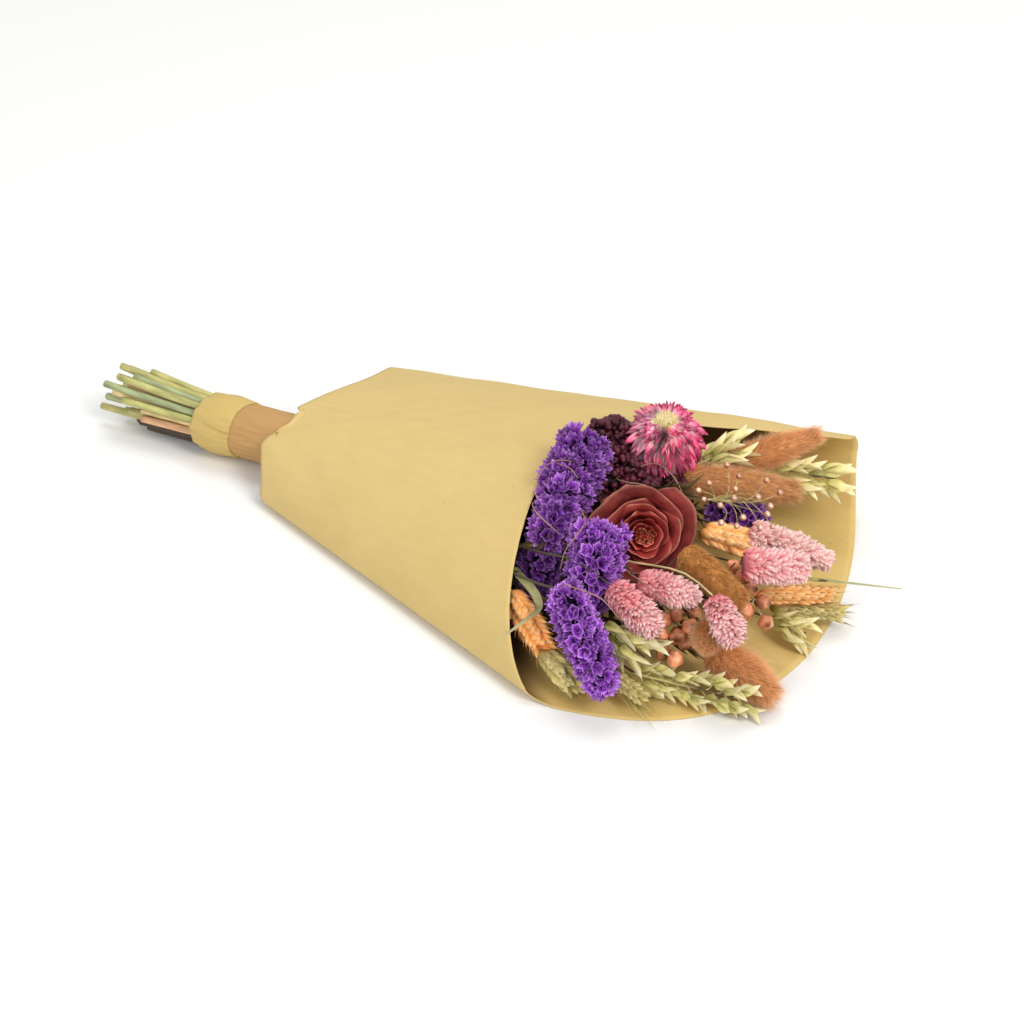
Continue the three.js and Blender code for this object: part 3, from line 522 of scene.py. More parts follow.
def plant(name, stops, vary, mottle, bump, rough, gloss=0.2):
    finish, tree, shader = new_finish(name)
    colour = colour_ramp(tree, reads(tree, "along"), stops)
    colour = shaded(tree, colour, mapped(tree, reads(tree, "own"), *vary))
    scale, low, high = mottle
    colour = shaded(tree, colour, mapped(tree, noise_at(tree, scale), low, high, 0.3, 0.7))
    feed(tree, shader, {"Base Color": colour, "Roughness": rough, "Specular IOR Level": gloss})
    scale, strength = bump
    bumped(tree, shader, noise_at(tree, scale, 4.0), strength, PETAL_BUMP)
    return finish


print("a petal's bump is at most", PETAL_BUMP, "m deep")

# %% [markdown]
# ## The colours of this bouquet
# The list below is the florist's palette: a root colour, up to three colours on the way, and a rim
# colour for each kind. Roots are dark because little light reaches them between crowded petals. After
# the colours come the darkest and lightest shade that a petal may have, the mottling (how fine, how
# dark, how light), the bump (how fine, how strong), how rough the surface is and, for some, its gloss.

# %% Palette
STATICE = plant(
    "statice violet",
    [(0, (0.016, 0.003, 0.028)), (0.4, (0.115, 0.014, 0.21)), (0.8, (0.26, 0.055, 0.42)),
     (1, (0.48, 0.23, 0.61))],
    (0.6, 1.5), (420, 0.75, 1.25), (1500, 0.3), 0.7)
MAGENTA = plant(
    "strawflower magenta",
    [(0, (0.97, 0.86, 0.74)), (0.52, (0.96, 0.76, 0.78)), (0.74, (0.90, 0.34, 0.48)),
     (0.92, (0.68, 0.05, 0.23)), (1, (0.94, 0.54, 0.64))],
    (0.7, 1.5), (220, 0.7, 1.4), (2500, 0.3), 0.5)
# A paler copy of the magenta with whiter bases: painted highlight for the bracts on one side of the
# strawflower.
MAGENTA_PAINTED_LIGHT = plant(
    "strawflower bract painted light",
    [(0, (0.97, 0.86, 0.74)), (0.6, (0.96, 0.78, 0.78)), (0.85, (0.88, 0.36, 0.50)), (1, (0.80, 0.20, 0.38))],
    (0.7, 1.3), (220, 0.7, 1.3), (2500, 0.3), 0.5)
DISC = plant(
    "strawflower disc",
    [(0, (0.60, 0.40, 0.10)), (0.6, (0.88, 0.74, 0.36)), (1, (0.97, 0.90, 0.62))],
    (0.85, 1.15), (600, 0.9, 1.1), (2500, 0.3), 0.8)
ROSE = plant(
    "rose red brown",
    [(0, (0.02, 0.003, 0.003)), (0.5, (0.09, 0.011, 0.010)), (0.85, (0.20, 0.026, 0.024)),
     (0.96, (0.22, 0.036, 0.030)), (1, (0.42, 0.16, 0.11))],
    (0.10, 3.6), (160, 0.68, 1.3), (700, 0.6), 0.5, gloss=0.08)
ROSE_HEART = plant(
    "rose heart",
    [(0, (0.24, 0.05, 0.025)), (0.6, (0.44, 0.11, 0.05)), (1, (0.75, 0.36, 0.22))],
    (0.7, 1.25), (500, 0.8, 1.2), (1500, 0.3), 0.5)
TAN_HAIR = plant(
    "hare tail hair",
    [(0, (0.50, 0.20, 0.055)), (0.5, (0.76, 0.40, 0.165)), (1, (0.91, 0.62, 0.37))],
    (0.7, 1.4), (250, 0.88, 1.12), (900, 0.1), 0.85)
OLIVE_HAIR = plant(
    "hare tail olive",
    [(0, (0.38, 0.15, 0.03)), (0.5, (0.60, 0.285, 0.085)), (1, (0.78, 0.44, 0.18))],
    (0.75, 1.2), (250, 0.85, 1.15), (900, 0.1), 0.85)
PINK = plant(
    "canary grass pink",
    [(0, (0.58, 0.09, 0.13)), (0.35, (0.80, 0.27, 0.29)), (0.7, (0.88, 0.46, 0.45)), (1, (0.96, 0.74, 0.70))],
    (0.82, 1.12), (300, 0.88, 1.12), (1500, 0.3), 0.75)
PALE_PINK = plant(
    "canary grass pale",
    [(0, (0.60, 0.18, 0.18)), (0.35, (0.88, 0.44, 0.42)), (0.75, (0.95, 0.60, 0.55)),
     (1, (0.97, 0.82, 0.74))],
    (0.82, 1.12), (300, 0.88, 1.12), (1500, 0.3), 0.75)
BURGUNDY = plant(
    "burgundy bead",
    [(0, (0.015, 0.002, 0.004)), (0.6, (0.06, 0.006, 0.014)), (1, (0.14, 0.018, 0.04))],
    (0.6, 1.4), (500, 0.8, 1.3), (1500, 0.5), 0.45, gloss=0.35)
FLAX = plant(
    "flax capsule",
    [(0, (0.14, 0.035, 0.012)), (0.3, (0.56, 0.19, 0.08)), (0.75, (0.86, 0.35, 0.18)),
     (1, (0.12, 0.03, 0.01))],
    (0.7, 1.3), (400, 0.65, 1.35), (1200, 0.35), 0.22, gloss=0.5)
COPPER = plant(
    "copper bead",
    [(0, (0.42, 0.18, 0.09)), (0.4, (0.78, 0.40, 0.25)), (1, (0.90, 0.60, 0.46))],
    (0.8, 1.2), (500, 0.9, 1.1), (1200, 0.05), 0.3, gloss=0.5)
COPPER.node_tree.nodes["Principled BSDF"].inputs["Metallic"].default_value = 0.65
ORANGE = plant(
    "dyed orange husk",
    [(0, (0.30, 0.07, 0.012)), (0.35, (0.86, 0.36, 0.09)), (0.8, (0.98, 0.54, 0.21)),
     (1, (0.98, 0.72, 0.42))],
    (0.85, 1.2), (300, 0.85, 1.12), (1300, 0.3), 0.5)
# A lighter, more saturated copy of the orange: painted light for the near ear, where the paper's shade falls
# on it.
ORANGE_PAINTED_LIGHT = plant(
    "dyed orange husk painted light",
    [(0, (0.40, 0.10, 0.015)), (0.3, (0.98, 0.40, 0.09)), (0.8, (0.98, 0.50, 0.17)), (1, (0.98, 0.68, 0.36))],
    (0.95, 1.2), (300, 0.9, 1.12), (1300, 0.3), 0.5)
STRAW_GREEN = plant(
    "wheat husk",
    [(0, (0.20, 0.16, 0.04)), (0.4, (0.54, 0.44, 0.13)), (0.8, (0.72, 0.60, 0.25)), (1, (0.85, 0.75, 0.42))],
    (0.75, 1.2), (300, 0.85, 1.15), (1300, 0.3), 0.6)
OAT = plant(
    "oat husk",
    [(0, (0.36, 0.34, 0.08)), (0.3, (0.62, 0.56, 0.21)), (0.75, (0.80, 0.71, 0.37)), (1, (0.91, 0.84, 0.60))],
    (0.88, 1.25), (250, 0.85, 1.15), (1300, 0.25), 0.5)
GRASS = plant(
    "grass",
    [(0, (0.14, 0.11, 0.04)), (0.1, (0.36, 0.34, 0.14)), (1, (0.46, 0.44, 0.22))],
    (0.8, 1.2), (200, 0.85, 1.15), (900, 0.3), 0.6)
# Very dark, so the leaves also stand for the shade between the flowers: partly leaf colour, partly painted
# shade.
LEAF_AND_SHADE = plant(
    "dried leaf and painted shade",
    [(0, (0.030, 0.016, 0.006)), (0.5, (0.085, 0.050, 0.018)), (1, (0.20, 0.14, 0.05))],
    (0.4, 1.6), (200, 0.7, 1.3), (900, 0.5), 0.85)
WISP = plant(
    "curled wisp",
    [(0, (0.26, 0.12, 0.08)), (1, (0.55, 0.32, 0.22))],
    (0.8, 1.2), (400, 0.9, 1.1), (900, 0.1), 0.7)
print(len(bpy.data.materials), "finishes, with those of the packed model")

# %% [markdown]
# ## A finish for stems
# Stems in a dried bouquet go from sage green to yellow straw to brown, each its own. Here the stem's
# own number picks the colour, and long thin noise draws the fibres. Towards the heads the stems go
# dark, because little light reaches them there, and the cut end is dark too.

# %% Stem finish
STEM_KINDS = [(0, (0.50, 0.48, 0.17)), (0.2, (0.58, 0.50, 0.20)), (0.4, (0.37, 0.42, 0.21)),
              (0.6, (0.80, 0.62, 0.30)), (0.8, (0.74, 0.42, 0.22)), (1, (0.055, 0.035, 0.022))]
STEM_SHADE, CUT_END = (0.05, 0.034, 0.015), (0.10, 0.07, 0.03)


def stem_finish():
    finish, tree, shader = new_finish("dried stem")
    along = reads(tree, "along")
    colour = colour_ramp(tree, reads(tree, "own"), STEM_KINDS)
    fibre = noise_at(tree, 300, 4.0, (0.08, 1, 1))
    colour = shaded(tree, colour, mapped(tree, fibre, 0.65, 1.3, 0.3, 0.7))
    colour = mixed(tree, mapped(tree, along, 0.0, 0.93, 0.45, 0.65), colour, STEM_SHADE)
    colour = mixed(tree, mapped(tree, along, 0.75, 0.0, 0.0, 0.02), colour, CUT_END)
    feed(tree, shader, {"Base Color": colour, "Roughness": 0.6})
    bumped(tree, shader, fibre, 0.5, 0.0005)
    return finish


STEM = stem_finish()
print("a stem's own number picks among", len(STEM_KINDS), "colours")

# %% [markdown]
# ## Kraft paper
# Kraft paper is warm tan, with fine fibres, small dark specks and a faint mottling from the pulp. All
# of that is colour and bump, far too fine to model. The inside of the sleeve is in deep shade towards
# the stems, and there the paper's second number darkens it.

# %% Paper and tape finishes
SPECK_BROWN, DEEP_BROWN = (0.22, 0.13, 0.05), (0.14, 0.06, 0.02)


def paper_finish(name, light, dark, speck, bump, deep=0.0):
    finish, tree, shader = new_finish(name)
    cloud = noise_at(tree, 14, 4.0)
    fibre = noise_at(tree, 260, 5.0, (0.25, 1, 1))
    colour = mixed(tree, mapped(tree, cloud, 0, 1, 0.3, 0.7), light, dark)
    colour = shaded(tree, colour, mapped(tree, fibre, 0.975, 1.025, 0.3, 0.7))
    spots = noise_at(tree, 420, 2.0)
    colour = mixed(tree, mapped(tree, spots, 0, speck, 0.74, 0.80), colour, SPECK_BROWN)
    colour = mixed(tree, mapped(tree, reads(tree, "own"), 0, deep), colour, DEEP_BROWN)
    feed(tree, shader, {"Base Color": colour, "Roughness": 0.75, "Specular IOR Level": 0.3})
    bumped(tree, shader, fibre, bump, 0.0003)
    return finish


KRAFT = paper_finish("kraft paper", (0.68, 0.505, 0.205), (0.66, 0.48, 0.185), 0.6, 0.12)
KRAFT_INSIDE = paper_finish("kraft paper inside", (0.75, 0.54, 0.20), (0.72, 0.51, 0.17), 0.7, 0.15, 0.88)
KRAFT_STRIP = paper_finish("kraft strip", (0.62, 0.455, 0.16), (0.59, 0.42, 0.14), 0.3, 0.3)
TAPE = paper_finish("tan tape", (0.53, 0.315, 0.12), (0.50, 0.28, 0.105), 0.2, 0.15)
print("made", ", ".join(finish.name for finish in (KRAFT, KRAFT_INSIDE, KRAFT_STRIP, TAPE)))

# %% [markdown]
# ## The sleeve
# The sleeve is one sheet rolled to a flattened cone and laid down. Its section is an arch over a flat
# floor, low and creased at the near fold, rounder at the far one, and it widens towards the mouth. The
# mouth is cut: deep and curved in front, with a longer rounded tongue behind. We use the rules of the
# model itself on a much finer grid, in a thinner sheet, and add the slight waves of real paper.

# %% Section of the sleeve
PAPER = 0.45
SECTION_AT = (-20, 210)
NEAR_FOLD_Y, NEAR_FOLD_Z = (-50, -97), (5, 7)
CREST_Y, CREST_Z = (-8, 12), (35, 74)
FAR_FOLD_Y, FAR_FOLD_Z = (92, 135), (9, 30)
ARCH_POWER = 1.15
CURL_WIDTH = 1.4
NEAR_CURL_END, FAR_CURL_START = 1 / 6, 5 / 6


def at(pair, x):
    return mix(pair[0], pair[1], (x - SECTION_AT[0]) / (SECTION_AT[1] - SECTION_AT[0]))


def section_point(x, turn):
    near_y, near_z = at(NEAR_FOLD_Y, x), at(NEAR_FOLD_Z, x)
    far_y, far_z = at(FAR_FOLD_Y, x), at(FAR_FOLD_Z, x)
    crest_y, crest_z = at(CREST_Y, x), at(CREST_Z, x)
    angle = turn * FULL_TURN
    c, s = np.abs(np.cos(angle)) ** ARCH_POWER, np.abs(np.sin(angle)) ** ARCH_POWER
    far_side = turn < 0.25
    arch_y = mix(crest_y, np.where(far_side, far_y, near_y), c)
    arch_z = mix(np.where(far_side, far_z, near_z), crest_z, s)
    w = (turn - 0.5) * 2
    near_curl, far_curl = w < NEAR_CURL_END, w > FAR_CURL_START
    near_angle = np.clip(w, 0, NEAR_CURL_END) * 3 * math.pi
    far_angle = np.clip(w - FAR_CURL_START, 0, NEAR_CURL_END) * 3 * math.pi
    floor_from, floor_to = near_y + near_z * CURL_WIDTH, far_y - far_z * CURL_WIDTH
    low_y = mix(floor_from, floor_to, (w - NEAR_CURL_END) * 1.5)
    low_y = np.where(far_curl, mix(floor_to, far_y, np.sin(far_angle)), low_y)
    low_y = np.where(near_curl, mix(floor_from, near_y, np.cos(near_angle)), low_y)
    low_z = np.where(far_curl, far_z * (1 - np.cos(far_angle)), 0.0)
    low_z = np.where(near_curl, near_z * (1 - np.sin(near_angle)), low_z)
    return np.where(turn <= 0.5, arch_y, low_y), np.where(turn <= 0.5, arch_z, low_z)


print("the mouth's arch is", at(CREST_Z, 230), "mm high at x = 230")

# %% Edges of the sleeve
NARROW_END_X, NARROW_END_SKEW = -14, -0.234
CUT_BACK_X, CUT_BACK_DEG, CUT_POWER = 139, 80, 1.45
NEAR_TIP_X, FAR_TIP_X, FAR_TIP_DEG, FAR_TIP_BACK = 200, 229, 28, 3
TONGUE_X, TONGUE_SIDE, TONGUE_AT = 279, 0.44, 240
TONGUE_NEAR_POWER, TONGUE_FAR_POWER = 2.8, 1.65
TIE_Y, TIE_SLOPE, TIE_Z = -13, 0.19, 16.5
NARROW_EDGE = [(0, -38.6), (0.04, -40), (0.06, -37), (0.08, -32.5), (0.1, -28.5), (0.12, -25),
               (0.14, -21.5), (0.17, -18), (0.2, -16.7), (0.24, -17.5), (0.268, -18.3), (0.28, -12.5),
               (0.3, -11.2), (0.32, -12), (0.34, -15), (0.36, -18.5), (0.38, -19.5), (0.4, -15.5),
               (0.42, -12), (0.44, -9), (0.46, -7), (0.5, -5.5)]


def mouth_x(turn):
    deg = turn * 360
    behind = np.clip(deg - CUT_BACK_DEG, 0, None) / (180 - CUT_BACK_DEG)
    back = mix(CUT_BACK_X, NEAR_TIP_X, behind**CUT_POWER)
    before = np.clip((CUT_BACK_DEG - deg) / (CUT_BACK_DEG - FAR_TIP_DEG), 0, 1)
    drawn_in = np.clip(1 - deg / FAR_TIP_DEG, 0, None) * FAR_TIP_BACK
    front = mix(CUT_BACK_X, FAR_TIP_X, before**CUT_POWER) - drawn_in
    near_y, far_y = at(NEAR_FOLD_Y, TONGUE_AT), at(FAR_FOLD_Y, TONGUE_AT)
    s = (section_point(TONGUE_AT, turn)[0] - near_y) / (far_y - near_y)
    near_side = np.clip(1 - s / TONGUE_SIDE, 0, 1) ** TONGUE_NEAR_POWER
    far_side = np.clip((s - TONGUE_SIDE) / (1 - TONGUE_SIDE), 0, 1) ** TONGUE_FAR_POWER
    near = mix(TONGUE_X, NEAR_TIP_X, near_side)
    far = mix(TONGUE_X, FAR_TIP_X - FAR_TIP_BACK, far_side)
    cut = np.where(deg >= CUT_BACK_DEG, back, front)
    return np.where(turn <= 0.5, cut, np.where(s < TONGUE_SIDE, near, far))


def narrow_x(turn):
    plane = NARROW_END_X + NARROW_END_SKEW * (section_point(SECTION_AT[0], turn)[0] - TIE_Y)
    cut = np.interp(turn, *zip(*NARROW_EDGE))
    return np.where(turn <= 0.5, cut, plane)


def ripple(u, v, seed, count=7, low=1.0, high=5.0):
    random = np.random.default_rng(seed)
    total = 0.0
    for _ in range(count):
        a, b = random.uniform(low, high, 2) * random.choice([-1, 1], 2)
        total = total + np.sin(a * u + b * v + random.uniform(0, 6.28)) / count
    return total


print("the front is cut back to x =", float(mouth_x(np.array(CUT_BACK_DEG / 360))))

# %% [markdown]
# The sheet gets an outside and an inside face and a rim that joins them. The waves push it outward or
# inward along its own normal by well under a millimetre, and fade out on the floor, which lies flat.
# The far lip of the mouth droops a little, and a small folded tab stands out at the narrow end. Little
# light gets deep into the cone, so the inside also carries a number that says how deep it lies.

# %% Points of the sheet
TURN_STEP = 0.002
# Each wave: height, length along the sleeve, crowding round it, seed
WAVES = [(0.9, 38, 2.2, 4), (0.35, 14, 5, 9)]
CREASE_DEG, CREASE_DRIFT_DEG, CREASE_WIDTH_DEG, CREASE_DEPTH = 128, 8, 2.5, 0.5
LIP_DROOP, LIP_FROM, LIP_LONG = 4.5, 0.78, 0.22
LIP_DEG, LIP_ARC_DEG = 20, 40


def sheet_points(turn, share, depth):
    x = mix(narrow_x(turn), mouth_x(turn), share)
    y, z = section_point(x, turn)
    y0, z0 = section_point(x, (turn - TURN_STEP) % 1)
    y1, z1 = section_point(x, (turn + TURN_STEP) % 1)
    run = np.hypot(y1 - y0, z1 - z0)
    angle, deg = turn * FULL_TURN, turn * 360
    wave = sum(high * ripple(x / long, angle * crowd, seed) for high, long, crowd, seed in WAVES)
    off_crease = (deg - CREASE_DEG - CREASE_DRIFT_DEG * (1 - share)) / CREASE_WIDTH_DEG
    crease = -CREASE_DEPTH * np.exp(-(off_crease**2)) * (0.2 + 0.8 * share)
    lift = (wave + crease) * np.clip(np.sin(angle), 0, 1) ** 0.5 * (turn < 0.5)
    near_lip = np.clip((share - LIP_FROM) / LIP_LONG, 0, 1)
    along_lip = np.clip((deg - LIP_DEG) / LIP_ARC_DEG, 0, 1)
    droop = LIP_DROOP * near_lip**2 * np.sin(math.pi * along_lip) ** 0.5
    inset = depth - lift + droop
    return np.stack([x, y - inset * (z1 - z0) / run, z + inset * (y1 - y0) / run], -1)


lip_top = sheet_points(np.array(0.25), np.array(1.0), 0.0)
print("the front edge of the paper is", round(float(lip_top[2]), 1), "mm high in its middle")

# %% The sleeve itself
SLEEVE_AROUND, SLEEVE_ALONG = 216, 84
TAB_TURN, TAB_LONG, TAB_ROOT, TAB_THICK = (0.275, 0.345), 8.0, 0.012, 0.35
TAB_AROUND, TAB_OUT = 20, 10
SHADE_Y, SHADE_REACH, SHADE_WIDTH = (-97, 0, 130), (26, 8, -42), 16.0


def shell(pile, outer, inner, inside=0, shade=0.0):
    rows, around = outer.shape[:2]
    size = rows * around
    faces = grid_faces(around, rows, True)
    i = np.arange(around)
    j = (i + 1) % around
    top = size - around
    start = np.stack([i, i + size, j + size, j], -1)
    end = np.stack([top + i, top + j, top + j + size, top + i + size], -1)
    own = np.concatenate([np.zeros(size), np.broadcast_to(shade, (rows, around)).ravel()])
    pile.add(np.concatenate([outer.reshape(-1, 3), inner.reshape(-1, 3)]), faces, own=own)
    pile.more(faces[:, ::-1] + size, inside)
    pile.more(start)
    pile.more(end)


def depth_shade(points):
    turns = np.linspace(0.02, 0.498, 60)
    edge_x = mouth_x(turns)
    edge_y = section_point(edge_x, turns)[0]
    front = np.interp(-points[..., 1], -edge_y, edge_x)
    reach = np.interp(points[..., 1], SHADE_Y, SHADE_REACH)
    return np.clip((front + reach - points[..., 0]) / SHADE_WIDTH, 0, 1)


def add_tab(pile):
    around, out = np.meshgrid(np.linspace(0, 1, TAB_AROUND), np.linspace(0, 1, TAB_OUT))
    rim = sheet_points(mix(*TAB_TURN, around), TAB_ROOT + 0 * around, PAPER * 0.6)
    reach = TAB_LONG * np.sin(math.pi * around) ** 0.5 * (0.75 + 0.25 * np.sin(5 * around + 1))
    rim[..., 0] -= reach * out
    rim[..., 1] += 2.2 * out * np.cos(math.pi * around)
    rim[..., 2] += 1.3 * np.sin(math.pi * out * 1.25) - 0.8 * out + 0.5 * np.sin(9 * around) * out
    both_sides = np.concatenate([rim, rim[::-1] - UP * TAB_THICK])
    pile.add(both_sides, grid_faces(TAB_AROUND, 2 * TAB_OUT))


def make_sleeve():
    steps = np.arange(SLEEVE_AROUND) / SLEEVE_AROUND
    turn, share = np.meshgrid(steps, np.linspace(0, 1, SLEEVE_ALONG))
    pile = Pile()
    inner = sheet_points(turn, share, PAPER)
    shell(pile, sheet_points(turn, share, 0.0), inner, 1, depth_shade(inner))
    add_tab(pile)
    pile.piece("sleeve_sheet", [KRAFT, KRAFT_INSIDE], ["paper_sleeve"], "kraft_paper")


make_sleeve()

# %% [markdown]
# ## Strip and tape round the stems
# Below the sleeve the stems are held by smooth tan tape, and a strip of kraft paper is wound over the
# end of the tape. Wound material is never a clean cylinder: it bulges over the stems, has slanting
# wrinkles and one sharp fold that fades towards both edges, and its last end lies a little higher than
# the turn below it.

# %% Wraps
STRIP_X, TAPE_X = (-68.5, -45.5), (-48.0, 6.0)
FOLD_DEG, FOLD_SLANT_DEG, FOLD_WIDTH_DEG, FOLD_DEPTH = 160, 14, 2.4, 1.1
OVERLAP_DEG, OVERLAP_STEP = 168, 0.55
STRIP_BARREL, WRAP_THICK = 1.4, 0.5
WRAP_SEED = 5
WRAP_AROUND, WRAP_ALONG = 160, 26
STEMS_ROUND = 11


def make_wrap(name, cad, slot, finish, span, radius, barrel, wrinkle, ragged, tuck, knobs):
    turn, share = np.meshgrid(np.arange(WRAP_AROUND) / WRAP_AROUND, np.linspace(0, 1, WRAP_ALONG))
    angle = turn * FULL_TURN
    edge = ragged * ripple(angle, 0 * angle, WRAP_SEED, count=5, low=1.0, high=4.0)
    x = mix(span[0], span[1], share) + edge * (1 - 2 * share)
    over = (angle - math.radians(OVERLAP_DEG)) % FULL_TURN
    step = OVERLAP_STEP * np.exp(-over / 1.6) * np.clip(over / 0.03, 0, 1)
    folds = wrinkle * ripple(x / 7, 15.0 * np.sin(angle), WRAP_SEED, count=9, low=0.8, high=2.4)
    stems_below = knobs * np.cos(STEMS_ROUND * angle + WRAP_SEED)
    fold_at = np.radians(FOLD_DEG + FOLD_SLANT_DEG * (share - 0.5))
    off_fold = (angle - fold_at) / math.radians(FOLD_WIDTH_DEG)
    fold = -FOLD_DEPTH * barrel / STRIP_BARREL * np.exp(-(off_fold**2))
    fold = fold * np.clip(share * 3 - 0.6, 0, 1) * np.clip((1 - share) * 8 + 0.25, 0, 1)
    r = radius + barrel * np.sin(math.pi * share) + step + folds + fold + stems_below * (1 - share) ** 2
    r = r - tuck * np.exp(-(x - span[0]) / 2.5)
    centre_y = TIE_Y + TIE_SLOPE * x

    def ring(r):
        return np.stack([x, centre_y + r * np.cos(angle), TIE_Z + r * np.sin(angle)], -1)

    pile = Pile()
    shell(pile, ring(r), ring(r - WRAP_THICK))
    pile.piece(name, [finish], [cad], slot)


make_wrap("strip_round_stems", "stem_wrap_paper", "kraft_paper", KRAFT_STRIP, STRIP_X,
          radius=14.9, barrel=STRIP_BARREL, wrinkle=0.65, ragged=0.5, tuck=0.0, knobs=0.4)
make_wrap("tape_round_stems", "stem_wrap_tape", "tan_tape", TAPE, TAPE_X,
          radius=14.6, barrel=0.2, wrinkle=0.65, ragged=0.3, tuck=0.6, knobs=0.0)

# %% [markdown]
# ## Seventeen bare stems
# The rose, the strawflower, the statice and the grasses each have a stem piece of their own. Where the stems
# spread below the heads they still carry dry, narrow leaves and broken side twigs. The leaves made here are
# coloured very dark, so they make the dark mass that shows between the flowers: partly real leaves, partly
# painted shade in the gaps. A leaf is kept only if its tip stays in the sleeve and it hides no flower. The
# stalk of one canary grass lies in the light and stays pale to its head.

# %% Where no leaf may be
BLOOM_REACH = {"rose": 27, "strawflower": 22, "statice_a": 17, "statice_b": 16, "statice_c": 14,
               "orange_wheat_1": 20, "orange_wheat_2": 12, "lagurus_3": 12, "statice_d": 13}
BLOOM_MIDDLE, BLOOM_BACK = 0.6, -8


def roof(x, y):
    crest_y, crest_z = at(CREST_Y, x), at(CREST_Z, x)
    far = y > crest_y
    fold_y = np.where(far, at(FAR_FOLD_Y, x), at(NEAR_FOLD_Y, x))
    fold_z = np.where(far, at(FAR_FOLD_Z, x), at(NEAR_FOLD_Z, x))
    c = np.clip((y - crest_y) / (fold_y - crest_y), 0, 1)
    return mix(fold_z, crest_z, (1 - c ** (2 / ARCH_POWER)) ** (ARCH_POWER / 2))


def hides_a_bloom(points):
    hidden = np.zeros(len(points), bool)
    for name, reach in BLOOM_REACH.items():
        room = Room(name)
        middle = room.foot + room.axis * room.length * BLOOM_MIDDLE
        seen = (points - middle) @ OPEN_SIDE
        beside = np.linalg.norm(points - middle - seen[:, None] * OPEN_SIDE, axis=1)
        hidden |= (beside < reach) & (seen > BLOOM_BACK)
    return hidden


rose_x, rose_y, _ = ROOMS["rose"][0]
print("over the rose's foot the arch would be", round(float(roof(rose_x, rose_y)), 1), "mm high")

# %% Dry leaves along a stem
DRY_LEAF = leaf(0.4, 0.8, keel=0.5, curl=0.25, hollow=0.08, across=3, rows=6)
DRY_LEAF_LONG, DRY_LEAF_WIDE = (8, 19), (1.2, 3.6)
LEAFY_FROM_X, LEAFY_TO_X = 112.0, 262
LEAST_LEAF_Z, UNDER_ROOF = 1.0, 3


def add_dry_leaves(pile, line, thick, count, seed, slot):
    random = np.random.default_rng(seed)
    leafy = np.flatnonzero((line[:, 0] > LEAFY_FROM_X) & (np.arange(len(line)) < len(line) - 2))
    if not len(leafy):
        return
    where = random.choice(leafy, count)
    ahead = unit(line[np.minimum(where + 1, len(line) - 1)] - line[where])
    origins = line[where] - ahead * thick[where][:, None] * 0.5
    lean = unit(ahead * 1.1 + random.normal(0, 0.55, (count, 3)))
    long = random.uniform(*DRY_LEAF_LONG, count)
    tips = origins + lean * long[:, None]
    fits = (tips[:, 2] > LEAST_LEAF_Z) & (tips[:, 0] < LEAFY_TO_X)
    fits &= tips[:, 2] < roof(tips[:, 0], tips[:, 1]) - UNDER_ROOF
    fits &= ~hides_a_bloom(tips) & ~hides_a_bloom(mix(origins, tips, 0.5))
    wide = random.uniform(*DRY_LEAF_WIDE, count)
    sizes = sized(wide, long * 0.5, long)[fits]
    frames = frames_of(lean, random.normal(size=(count, 3)))[fits]
    pile.scatter(DRY_LEAF, origins[fits], frames, sizes, random.random(fits.sum()), slot)


print("a dry leaf is", DRY_LEAF_LONG[0], "to", DRY_LEAF_LONG[1], "mm long")

# %% The seventeen stalks
STEM_TONES = {
    "rose": 0.2, "strawflower": 0.05, "statice_a": 0.4, "statice_b": 0.6, "statice_c": 0.4,
    "statice_d": 0.4, "statice_e": 0.0, "lagurus_1": 0.2, "lagurus_2": 0.8, "lagurus_3": 0.0,
    "lagurus_4": 0.6, "lagurus_5": 1.0, "phalaris_1": 0.1, "phalaris_2": 0.8, "phalaris_3": 0.6,
    "phalaris_4": 0.8, "phalaris_5": 0.0}
FEW_LEAVES = 34
# More dark leaves on these stems thicken the dark mass; on statice_c they also darken the near side of the
# mouth as painted shade.
MANY_LEAVES = {"statice_c": 110, "lagurus_3": 70, "lagurus_4": 90, "lagurus_5": 70, "phalaris_3": 70,
               "phalaris_4": 60, "phalaris_5": 60}
LIT = {"phalaris_3": 0.5}

for number, (head, tone) in enumerate(STEM_TONES.items()):
    pile = Pile()
    line, thick = add_stem(pile, head + "_stem", head, tone, lit=LIT.get(head, 1.0))
    add_dry_leaves(pile, line, thick, MANY_LEAVES.get(head, FEW_LEAVES), 100 + number, 1)
    pile.piece(head + "_stalk", [STEM, LEAF_AND_SHADE], [head + "_stem"], "dried_stem")

# %% [markdown]
# ## Statice
# A statice spray is a crowd of papery cups, each with five pleated lobes and a wavy rim. One cup is
# made as a funnel on a grid and laid out over the room in golden-angle order, the pattern that plants
# use themselves. Random size, lean and roll make the ruffled look. Both ends of the room are open, so
# each gets a cap of cups as well. Curled wisps of dry grass lie over the three large sprays, and over
# the burgundy beads further on.

# %% One papery cup
LOBES, PER_LOBE = 5, 5
FUNNEL_RINGS = [0.0, 0.35, 0.62, 0.84, 1.0]


def funnel():
    angle, v = np.meshgrid(round_steps(LOBES * PER_LOBE), FUNNEL_RINGS)
    lobe = np.cos(LOBES * angle)
    r = 0.06 + 0.46 * v**1.5 * (1 + 0.13 * lobe * v**2 + 0.05 * np.cos(3 * angle + 0.7) * v)
    z = v * (1 + 0.12 * lobe * v**2) + 0.15 * np.cos(2 * LOBES * angle + 1.1) * v**3
    return round_points(r, angle, z), grid_faces(LOBES * PER_LOBE, len(FUNNEL_RINGS), True), v.ravel()


FUNNEL = funnel()
print("one cup has", len(FUNNEL[1]), "faces")

